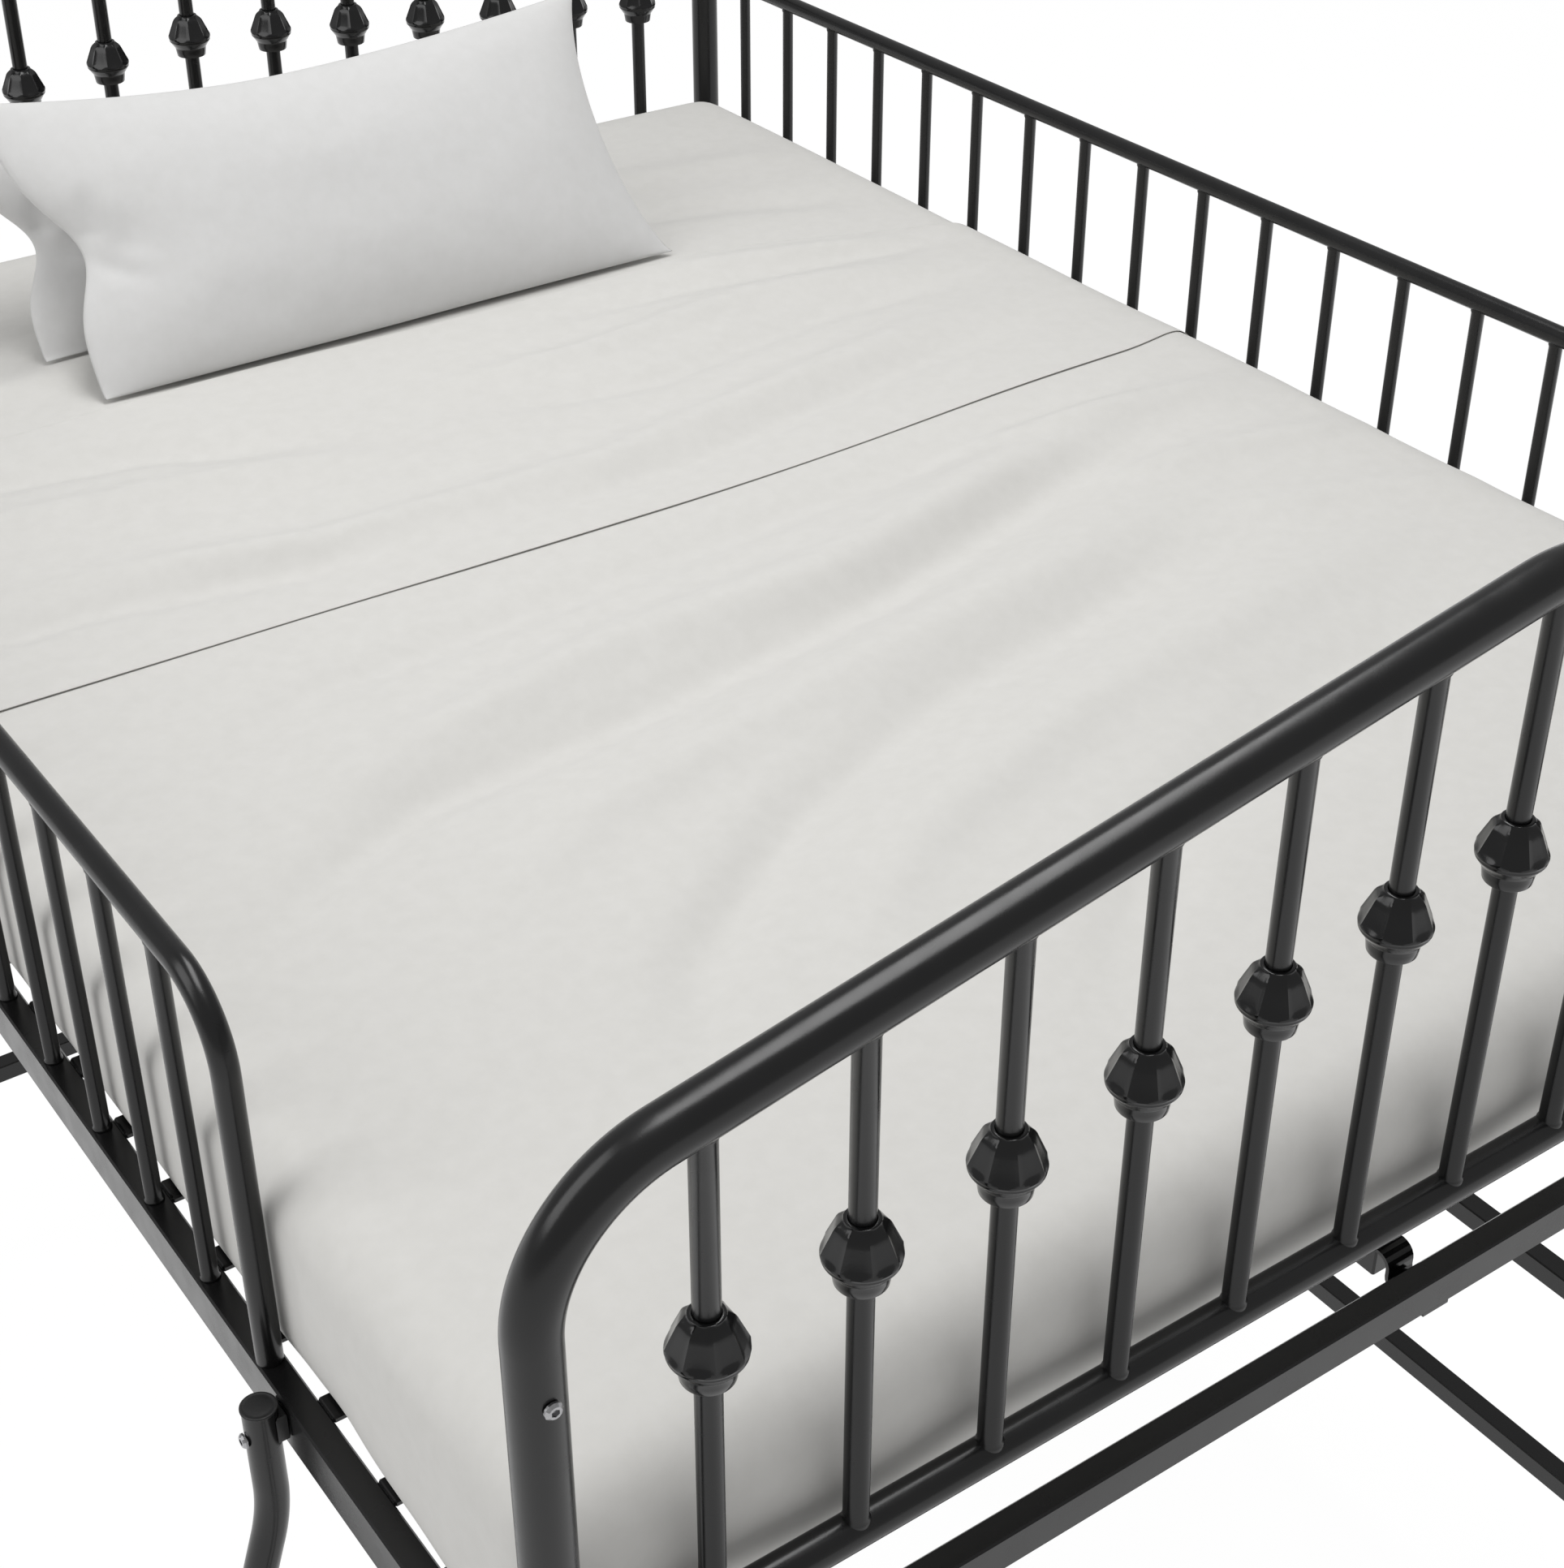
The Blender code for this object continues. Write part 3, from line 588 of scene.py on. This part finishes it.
def corner_lip(px, py, fall):
    """The doubled cloth of a tucked corner: a low rounded patch that wraps round each corner."""
    lip = np.zeros_like(px)
    deep = BOX_HIGH[2] - BOX_LOW[2]
    for x_edge in (BOX_LOW[0], BOX_HIGH[0]):
        for y_edge in (BOX_LOW[1], BOX_HIGH[1]):
            away = np.abs(px + LEG_X - x_edge) + np.abs(py + FOOT_Y - y_edge)
            reach = (away / 0.090) ** 2 + ((1.05 - fall) * deep / 0.080) ** 2
            lip = np.maximum(lip, (1 - smooth_step(0.86, 1.06, reach)) * (0.75 + 0.25 * reach))
    return 0.0085 * lip


def drape(place, normal):
    """How far the linen stands off the mattress: long folds on top, soft pleats down the sides."""
    px, py = place[:, 0] - LEG_X, place[:, 1] - FOOT_Y
    up = smooth_step(0.25, 0.85, normal[:, 2])
    top = np.zeros_like(px)
    for route, height, width in LOWER_FOLDS:
        top += fold_line(px, py, route, height, width) * (1 - smooth_step(HEM_Y - 0.02, HEM_Y + 0.05, py))
    for route, height, width in UPPER_FOLDS:
        top += fold_line(px, py, route, height, width) * smooth_step(HEM_Y - 0.05, HEM_Y + 0.02, py)
    for route, height, width in HEAD_FOLDS:
        top += fold_line(px, py, route, height, width)
    top *= FOLD_GAIN
    top += roughness(place, 2.3, 0.0035, 3.0) + roughness(place, 6.0, 0.0012, 9.0)
    down = 1 - up
    fall = (bed_high.z - place[:, 2]) / (bed_high.z - bed_low.z)
    pleat = np.sin(py * 44 + 3.0 * np.sin(py * 7.3)) * (0.4 + 0.6 * np.sin(py * 5.1 + 1.0) ** 2)
    pleat_end = np.sin(px * 30 + 2.0 * np.sin(px * 6.1))
    on_side = smooth_step(0.5, 0.9, np.abs(normal[:, 0]))
    on_end = smooth_step(0.5, 0.9, np.abs(normal[:, 1]))
    side = (0.0010 * pleat * on_side + 0.0014 * pleat_end * on_end) * smooth_step(0.15, 0.7, fall)
    slant = np.sin(px * 15.0 - fall * 3.2 + 0.7) + 0.6 * np.sin(px * 27.0 + fall * 2.1)
    side += 0.0020 * slant * on_end * smooth_step(0.25, 0.9, fall)
    near_side = (px < 0.3) * smooth_step(0.45, 0.9, fall) * on_side
    belly = (0.0030 * on_side + 0.0050 * on_end) * np.sin(math.pi * np.clip(fall, 0, 1))
    return top * up + (side + belly + low_edge(py) * near_side + corner_lip(px, py, fall)) * down


def skin_grid(low, high, rows_y, step, rim):
    """Quads over the top and sides of a box, plus a rim turned in below; rows_y are the stations in y."""
    def marks(a, b):
        return list(np.linspace(a, b, max(2, int(round((b - a) / step))) + 1))

    xs, zs = marks(low[0], high[0]), marks(low[2], high[2])
    rims = list(np.linspace(0, rim, max(2, int(round(rim / step))) + 1))
    index, points, faces = {}, [], []

    def vertex(p):
        key = tuple(round(c, 5) for c in p)
        if key not in index:
            index[key] = len(points)
            points.append(p)
        return index[key]

    def patch(rows):
        for row, after in zip(rows, rows[1:]):
            for k in range(len(row) - 1):
                faces.append((vertex(row[k]), vertex(row[k + 1]), vertex(after[k + 1]), vertex(after[k])))

    patch([[(x, y, high[2]) for x in xs] for y in rows_y])
    patch([[(low[0], y, z) for y in reversed(rows_y)] for z in zs])
    patch([[(high[0], y, z) for y in rows_y] for z in zs])
    if rim:
        patch([[(low[0] + d, y, low[2] - 1) for y in reversed(rows_y)] for d in reversed(rims)])
        patch([[(high[0] - d, y, low[2] - 1) for y in rows_y] for d in reversed(rims)])
    ends = []
    if rows_y[0] == low[1]:
        ends.append((low[1], 1, xs))
    if rows_y[-1] == high[1]:
        ends.append((high[1], -1, xs[::-1]))
    for y, inward, across in ends:
        patch([[(x, y, z) for x in across] for z in zs])
        if rim:
            patch([[(x, y + inward * d, low[2] - 1) for x in across] for d in reversed(rims)])
    return np.array(points), faces, index


def soft_box(q, low, high):
    """Wrap box-surface points onto the rounded mattress form. Rim points are marked by a low z."""
    low, high = np.array(low), np.array(high)
    under = q[:, 2] < low[2] - 0.5
    middle = (low[2] + high[2]) / 2
    flat = q.copy()
    flat[:, 2] = np.where(under, middle, np.maximum(q[:, 2], middle))
    rim_in = np.minimum.reduce([q[:, 0] - low[0], high[0] - q[:, 0], q[:, 1] - low[1], high[1] - q[:, 1]])
    edge = flat.copy()
    if under.any():
        for axis in (0, 1):
            near_low = (q[:, axis] - low[axis]) <= (high[axis] - q[:, axis])
            gap = np.where(near_low, q[:, axis] - low[axis], high[axis] - q[:, axis])
            snap = under & (np.abs(gap - rim_in) < 1e-6)
            edge[:, axis] = np.where(snap, np.where(near_low, low[axis], high[axis]), edge[:, axis])
    core = np.clip(edge, low + EDGE_R, high - EDGE_R)
    core[:, 2] = np.minimum(np.clip(edge[:, 2], middle, high[2] - EDGE_R), high[2] - EDGE_R)
    away = edge - core
    size = np.linalg.norm(away, axis=1, keepdims=True)
    size[size == 0] = 1
    normal = away / size
    place = core + normal * EDGE_R
    lower = under | (q[:, 2] < middle)
    travel = np.where(under, -rim_in, q[:, 2] - low[2])
    half = LOW_R * math.pi / 4
    angle = np.clip(math.pi / 4 * (1 - travel / half), 0, math.pi / 2)
    inset = LOW_R * (1 - np.cos(angle)) + np.clip(-travel - half, 0, None)
    rise = LOW_R * (1 - np.sin(angle))
    above = np.clip(travel - half, 0, None) * (middle - low[2] - LOW_R) / (middle - low[2] - half)
    height = low[2] + rise + above
    flat_normal = normal.copy()
    flat_normal[:, 2] = 0
    turned = flat_normal * np.cos(angle)[:, None]
    turned[:, 2] = -np.sin(angle)
    low_place = place - flat_normal * inset[:, None]
    low_place[:, 2] = height
    pick = lower[:, None]
    return np.where(pick, low_place, place), np.where(pick, turned, normal)


BOX_LOW = tuple(bed_low)
BOX_HIGH = tuple(bed_high)


GUARD_START = 0.34
# how low each layer may hang over the slats, and how far in from the leg axis it stays at the guards
UNDER_MATTRESS, IN_MATTRESS = 0.0055, 0.0157
UNDER_FITTED, IN_FITTED = 0.0034, 0.0142
UNDER_TOP, IN_TOP, IN_TURNED = 0.0014, 0.0128, 0.0108


def keep_clear(place, under, inset):
    """Hold the linen over the slats and inside the guard posts: it is tucked in, not pushed through."""
    held = np.array(place, dtype=float)
    held[:, 2] = np.maximum(held[:, 2], BOX_LOW[2] + under)
    held[:, 0] = np.minimum(held[:, 0], FAR_LEG_X - inset)
    guarded = held[:, 1] - FOOT_Y > GUARD_START
    held[:, 0] = np.where(guarded, np.maximum(held[:, 0], LEG_X + inset), held[:, 0])
    return held


def stations(*stops):
    """Rows along the bed, close to the usual step, that pass exactly through each stop."""
    rows = [stops[0]]
    for start, end in zip(stops, stops[1:]):
        count = max(1, int(round((end - start) / STEP)))
        rows += list(np.linspace(start, end, count + 1))[1:]
    return rows


def warp(place):
    """Curve the folded band: its head edge swings towards the foot at the far side."""
    px, py = place[:, 0] - LEG_X, place[:, 1] - FOOT_Y
    pull = 0.10 * smooth_step(1.02, 1.42, px) + 0.006 * np.sin(px * 9.0)
    moved = place.copy()
    moved[:, 1] -= pull * smooth_step(HEM_Y + 0.05, FOLD_Y, py)
    hem = 0.012 * np.sin(px * 5.2 + 0.8) + 0.022 * smooth_step(1.28, 1.40, px)
    moved[:, 1] += hem * np.exp(-(((py - HEM_Y) / 0.06) ** 2)) * 0.6
    return moved


def thicken(item, thickness):
    """Turn a cloth surface into a thin closed sheet and bake it."""
    shell = item.modifiers.new("thickness", "SOLIDIFY")
    shell.thickness = thickness
    shell.offset = 1.0
    smooth = item.modifiers.new("smooth", "SUBSURF")
    smooth.levels = 1
    smooth.render_levels = 1
    return apply_modifiers(item)


def make_fitted_sheet():
    rows = stations(BOX_LOW[1], BOX_HIGH[1])
    points, faces, _ = skin_grid(BOX_LOW, BOX_HIGH, rows, STEP, RIM)
    place, normal = soft_box(points, BOX_LOW, BOX_HIGH)
    lift = 0.0012 + drape(place, normal)
    py = place[:, 1] - FOOT_Y
    lift -= 0.0034 * (1 - smooth_step(FOLD_Y - 0.22, FOLD_Y - 0.10, py))
    shaped = keep_clear(place + normal * lift[:, None], UNDER_FITTED, IN_FITTED)
    item = mesh_object("fitted_sheet", shaped, faces, SHEET_COTTON)
    thicken(item, 0.0008)
    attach(item, "bedding")
    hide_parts("bed_sheet")


def make_top_sheet():
    """One sheet: tucked in at the foot, flat to the fold, then turned back over itself to the hem."""
    rows = stations(BOX_LOW[1], FOOT_Y + HEM_Y, FOOT_Y + FOLD_Y)
    points, faces, index = skin_grid(BOX_LOW, BOX_HIGH, rows, STEP, RIM)
    place, normal = soft_box(points, BOX_LOW, BOX_HIGH)
    moved = warp(place)
    under = keep_clear(moved + normal * (0.0034 + drape(moved, normal))[:, None], UNDER_TOP, IN_TOP)
    back_rows = [y for y in rows if y > FOOT_Y + HEM_Y - 1e-6]
    points, back_faces, back_index = skin_grid(BOX_LOW, BOX_HIGH, back_rows, STEP, 0.0)
    place, normal = soft_box(points, BOX_LOW, BOX_HIGH)
    px, py = place[:, 0] - LEG_X, place[:, 1] - FOOT_Y
    near_hem = np.exp(-(((py - HEM_Y) / 0.03) ** 2))
    moved = warp(place)
    lift = 0.0057 + drape(moved, normal) + 0.0007 * near_hem * (0.6 + 0.4 * np.sin(px * 11.0 + 1.0))
    turned = keep_clear(moved + normal * lift[:, None], UNDER_TOP, IN_TURNED)
    merged = [tuple(p) for p in under]
    start = len(merged)
    merged += [tuple(p) for p in turned]
    faces = list(faces) + [tuple(reversed([start + v for v in face])) for face in back_faces]
    # round the fold: the two layers meet along their last row
    last = rows[-1]
    keys = [key for key in back_index if abs(key[1] - round(float(last), 5)) < 1e-6]
    left = sorted((k for k in keys if abs(k[0] - BOX_LOW[0]) < 1e-4), key=lambda k: k[2])
    over = sorted((k for k in keys if abs(k[2] - BOX_HIGH[2]) < 1e-4), key=lambda k: k[0])[1:-1]
    right = sorted((k for k in keys if abs(k[0] - BOX_HIGH[0]) < 1e-4), key=lambda k: -k[2])
    rings = []
    for key in left + over + right:
        low_index, high_index = index[key], start + back_index[key]
        a, b = Vector(merged[low_index]), Vector(merged[high_index])
        ring = [low_index]
        for turn in (45, 90, 135):
            angle = math.radians(turn)
            bulge = Vector((0, math.sin(angle) * (b - a).length * 0.55, 0))
            merged.append(tuple(a.lerp(b, (1 - math.cos(angle)) / 2) + bulge))
            ring.append(len(merged) - 1)
        rings.append(ring + [high_index])
    for ring, after in zip(rings, rings[1:]):
        for k in range(len(ring) - 1):
            faces.append((ring[k], after[k], after[k + 1], ring[k + 1]))
    item = mesh_object("top_sheet", merged, faces, SHEET_COTTON)
    builder = bmesh.new()
    builder.from_mesh(item.data)
    bmesh.ops.recalc_face_normals(builder, faces=builder.faces)
    builder.to_mesh(item.data)
    builder.free()
    thicken(item, 0.0009)
    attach(item, "bedding")


def make_mattress():
    """The mattress under the linen, kept a little below it."""
    rows = stations(BOX_LOW[1], BOX_HIGH[1])
    rows = rows[::3] if (len(rows) - 1) % 3 == 0 else rows
    points, faces, _ = skin_grid(BOX_LOW, BOX_HIGH, rows, 0.04, RIM)
    place, normal = soft_box(points, BOX_LOW, BOX_HIGH)
    lift = np.clip(drape(place, normal), None, 0) - 0.009
    shaped = keep_clear(place + normal * lift[:, None], UNDER_MATTRESS, IN_MATTRESS)
    item = mesh_object("mattress_body", shaped, faces, TICKING)
    builder = bmesh.new()
    builder.from_mesh(item.data)
    bmesh.ops.holes_fill(builder, edges=[e for e in builder.edges if e.is_boundary], sides=0)
    bmesh.ops.triangulate(builder, faces=[f for f in builder.faces if len(f.verts) > 4])
    bmesh.ops.recalc_face_normals(builder, faces=builder.faces)
    builder.to_mesh(item.data)
    builder.free()
    item.data.shade_smooth()
    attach(item, "bedding")
    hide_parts("mattress")


# ---------------------------------------------------------------- pillows
PILLOW_W = 0.690
PILLOW_H = 0.300
PILLOW_GRID = (80, 40)


def pillow_blank(name):
    """Two layers of cloth joined round the rim, a little plump at the start."""
    nu, nv = PILLOW_GRID
    points, faces, index = [], [], {}
    for side in (1, -1):
        for i in range(nu + 1):
            for j in range(nv + 1):
                u, v = 2 * i / nu - 1, 2 * j / nv - 1
                if side == -1 and (i in (0, nu) or j in (0, nv)):
                    index[side, i, j] = index[1, i, j]
                    continue
                plump = (1 - abs(u) ** 3) ** 0.6 * (1 - abs(v) ** 3) ** 0.6
                index[side, i, j] = len(points)
                points.append((u * PILLOW_W / 2, v * PILLOW_H / 2, side * 0.026 * plump))
        for i in range(nu):
            for j in range(nv):
                quad = [index[side, i, j], index[side, i + 1, j],
                        index[side, i + 1, j + 1], index[side, i, j + 1]]
                faces.append(quad if side == 1 else quad[::-1])
    return mesh_object(name, points, faces, PILLOW_COTTON)


def inflate(item, pressure, frames, cap):
    """Cloth simulation of a filled case, with its result baked into the mesh."""
    before = points_of(item)
    cloth = item.modifiers.new("cloth", "CLOTH")
    cloth.settings.quality = 7
    cloth.settings.mass = 0.22
    for kind in ("tension", "compression", "shear"):
        setattr(cloth.settings, kind + "_stiffness", 40 if kind != "shear" else 10)
    cloth.settings.bending_stiffness = 0.25
    cloth.settings.use_pressure = True
    cloth.settings.uniform_pressure_force = pressure
    cloth.settings.effector_weights.gravity = 0
    cloth.collision_settings.use_collision = False
    cloth.collision_settings.use_self_collision = False
    cloth.point_cache.frame_start = 1
    cloth.point_cache.frame_end = frames
    for frame_number in range(1, frames + 1):
        bpy.context.scene.frame_set(frame_number)
    swollen = item.evaluated_get(bpy.context.evaluated_depsgraph_get())
    flat = np.empty(len(item.data.vertices) * 3)
    swollen.data.vertices.foreach_get("co", flat)
    after = flat.reshape(-1, 3)
    item.modifiers.clear()
    move = after - before
    size = np.maximum(np.linalg.norm(move, axis=1, keepdims=True), 1e-9)
    put_points(item, before + move * np.minimum(1, cap / size))
    bpy.context.scene.frame_set(1)


def crease(u, v, start, end, depth, width):
    """A sharp tuck between two places on the case, fading towards its far end."""
    (au, av), (bu, bv) = start, end
    along = np.clip(((u - au) * (bu - au) + (v - av) * (bv - av)) / ((bu - au) ** 2 + (bv - av) ** 2), 0, 1)
    gap = np.hypot(u - au - along * (bu - au), (v - av - along * (bv - av)) * 0.5)
    valley = np.exp(-((gap / width) ** 2)) - 0.55 * np.exp(-(((gap - 2.0 * width) / (1.2 * width)) ** 2))
    return -depth * valley * (1 - smooth_step(0.5, 1.0, along))


def shape_case(rest, filled, front_bulge, back_bulge, height, seed):
    """The filled case in its own plane: straight lower seam, bow-tied open end, pointed closed end.

    The outline is drawn here, and so are most of the fullness, the tucks and the small puckers; a fifth of
    the fullness comes from the simulation.
    """
    u = np.clip(rest[:, 0] / (PILLOW_W / 2), -1, 1)
    v = np.clip(rest[:, 1] / (PILLOW_H / 2), -1, 1)
    t = (v + 1) / 2
    right = 0.341 - 0.036 * (4 * t * (1 - t)) ** 0.8 - 0.013 * t
    left = -0.340 - 0.030 * t**2 + 0.036 * np.exp(-(((t - 0.475) / 0.17) ** 2))
    top = 0.288 + 0.034 * (np.clip(-u - 0.1, 0, 1) / 0.9) ** 1.7
    top = top + 0.025 * (np.clip(u + 0.1, 0, 2) / 1.1) ** 1.8
    shaped = np.empty_like(rest)
    shaped[:, 0] = left + (right - left) * (u + 1) / 2
    shaped[:, 1] = top * t * height
    side = np.where(rest[:, 2] >= 0, 1.0, -1.0)
    bulge = np.where(side > 0, front_bulge, back_bulge)
    full = np.clip(1 - np.abs(u) ** 3.2, 0, 1) ** 0.62 * np.clip(1 - np.abs(v) ** 2.4, 0, 1) ** 0.60
    blown = np.abs(filled[:, 2]) / np.abs(filled[:, 2]).max()
    inside = (1 - np.abs(u) ** 10) * (1 - np.abs(v) ** 10)
    pinch = np.exp(-(((v + 0.06) / 0.20) ** 2)) * smooth_step(0.80, 1.0, -u)
    depth = bulge * (0.80 * full + 0.20 * blown * inside) * (1 - 0.30 * pinch)
    tucks = crease(u, v, (-1.0, -0.06), (-0.80, 0.42), 0.0060, 0.030)
    tucks += crease(u, v, (-1.0, -0.10), (-0.78, -0.34), 0.0050, 0.026)
    tucks += crease(u, v, (-1.0, 0.02), (-0.88, 0.10), 0.0040, 0.020)
    rough = np.array([noise.noise(Vector((a * 2.2 + seed, b * 1.5, 3.0))) for a, b in zip(u, v)])
    fine = np.array([noise.noise(Vector((a * 6.0 + seed, b * 3.4, 7.0))) for a, b in zip(u, v)])
    shaped[:, 2] = side * (depth + (tucks + 0.0036 * rough + 0.0010 * fine) * inside)
    return shaped


def bed_surface():
    """Height of the made bed under any place, from the two sheets."""
    trees = []
    for name in ("fitted_sheet", "top_sheet"):
        data = bpy.data.objects[name].data
        trees.append(BVHTree.FromPolygons([v.co for v in data.vertices], [p.vertices for p in data.polygons]))

    def height(x, y):
        start = Vector((x, y, BOX_HIGH[2] + 0.3))
        hits = [tree.ray_cast(start, Vector((0, 0, -1)))[0] for tree in trees]
        return max([hit.z for hit in hits if hit is not None], default=BOX_HIGH[2])

    return height


def pose_pillow(item, lean, place, surface):
    """Stand the pillow on its long edge, leaning back, and let it settle on the linen."""
    points = points_of(item)
    y = place.y + math.cos(lean) * points[:, 1] - math.sin(lean) * points[:, 2]
    z = place.z + math.sin(lean) * points[:, 1] + math.cos(lean) * points[:, 2]
    x = place.x + points[:, 0]
    for k in np.nonzero(z < place.z + 0.030)[0]:
        ground = surface(x[k], y[k]) + 0.0016
        if z[k] < ground + 0.006:
            z[k] = ground + 0.006 * math.exp((z[k] - ground - 0.006) / 0.012)
    put_points(item, np.stack([x, y, z], axis=1))


def make_pillows():
    blank = pillow_blank("pillow_case_front")
    rest = points_of(blank)
    inflate(blank, 3.4, 18, 0.070)
    filled = points_of(blank)
    second = bpy.data.objects.new("pillow_case_back", blank.data.copy())
    bpy.context.collection.objects.link(second)
    surface = bed_surface()
    for item, node, x, y, lean, height, bulges, seed in (
        (blank, "pillow_front", 0.7145, 1.4840, 56, 1.0, (0.046, 0.042), 2.0),
        (second, "pillow_back", 0.6990, 1.5990, 58, 0.83, (0.038, 0.044), 8.0),
    ):
        put_points(item, shape_case(rest, filled, *bulges, height, seed))
        pose_pillow(item, math.radians(lean), bed(x, y, BOX_HIGH[2] + 0.001), surface)
        smooth = item.modifiers.new("smooth", "SUBSURF")
        smooth.levels = smooth.render_levels = 1
        apply_modifiers(item)
        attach(item, node)
        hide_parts(node)


# ---------------------------------------------------------------- studio
def area_light(name, place, target, size, power, tall=None):
    light = bpy.data.lights.new(name, "AREA")
    light.shape = "RECTANGLE"
    light.size = size
    light.size_y = tall or size
    light.energy = power
    item = bpy.data.objects.new(name, light)
    bpy.context.collection.objects.link(item)
    item.location = place
    item.rotation_euler = (Vector(target) - Vector(place)).to_track_quat("-Z", "Y").to_euler()
    item.visible_camera = False
    return item


def studio():
    world = bpy.data.worlds.new("studio")
    bpy.context.scene.world = world
    world.use_nodes = True
    background = world.node_tree.nodes["Background"]
    background.inputs["Color"].default_value = (1, 1, 1, 1)
    background.inputs["Strength"].default_value = 0.42
    half = 40.0
    floor_look = Nodes("floor_pale")
    floor_look.set(Roughness=0.95)
    floor_look.shader.inputs["Base Color"].default_value = (0.10, 0.10, 0.10, 1)
    floor_look.shader.inputs["Specular IOR Level"].default_value = 0.0
    floor_look.shader.inputs["Emission Color"].default_value = (1, 1, 1, 1)
    floor_look.shader.inputs["Emission Strength"].default_value = 0.95
    floor = mesh_object("studio_floor", [(-half, -half, -0.0005), (half, -half, -0.0005),
                                         (half, half, -0.0005), (-half, half, -0.0005)],
                        [(0, 1, 2, 3)], floor_look.material, smooth=False)
    area_light("key_left", (-3.0, 0.4, 4.2), (0, 0.1, 1.4), 2.2, 54, 3.2)
    area_light("overhead", (0.5, -0.1, 4.6), (0.3, 0.0, 1.4), 2.8, 72, 1.3)


def camera():
    data = bpy.data.cameras.new("camera")
    data.sensor_width = 36.0
    data.lens = 58.95
    data.shift_x = -0.0006
    data.shift_y = -0.0205
    data.clip_start = 0.05
    data.clip_end = 100
    item = bpy.data.objects.new("camera", data)
    bpy.context.collection.objects.link(item)
    item.location = bed(-0.41418, -0.79876, 2.53215)
    item.rotation_euler = (math.radians(56.6846), 0, math.radians(-35.2617))
    bpy.context.scene.camera = item
    bpy.context.scene.view_settings.view_transform = "Standard"
    bpy.context.scene.view_settings.look = "None"


dress_frame()
make_hoops()
make_grilles()
make_guards()
make_ladder()
make_caps()
make_knobs()
make_mattress()
make_fitted_sheet()
make_top_sheet()
make_pillows()
studio()
camera()
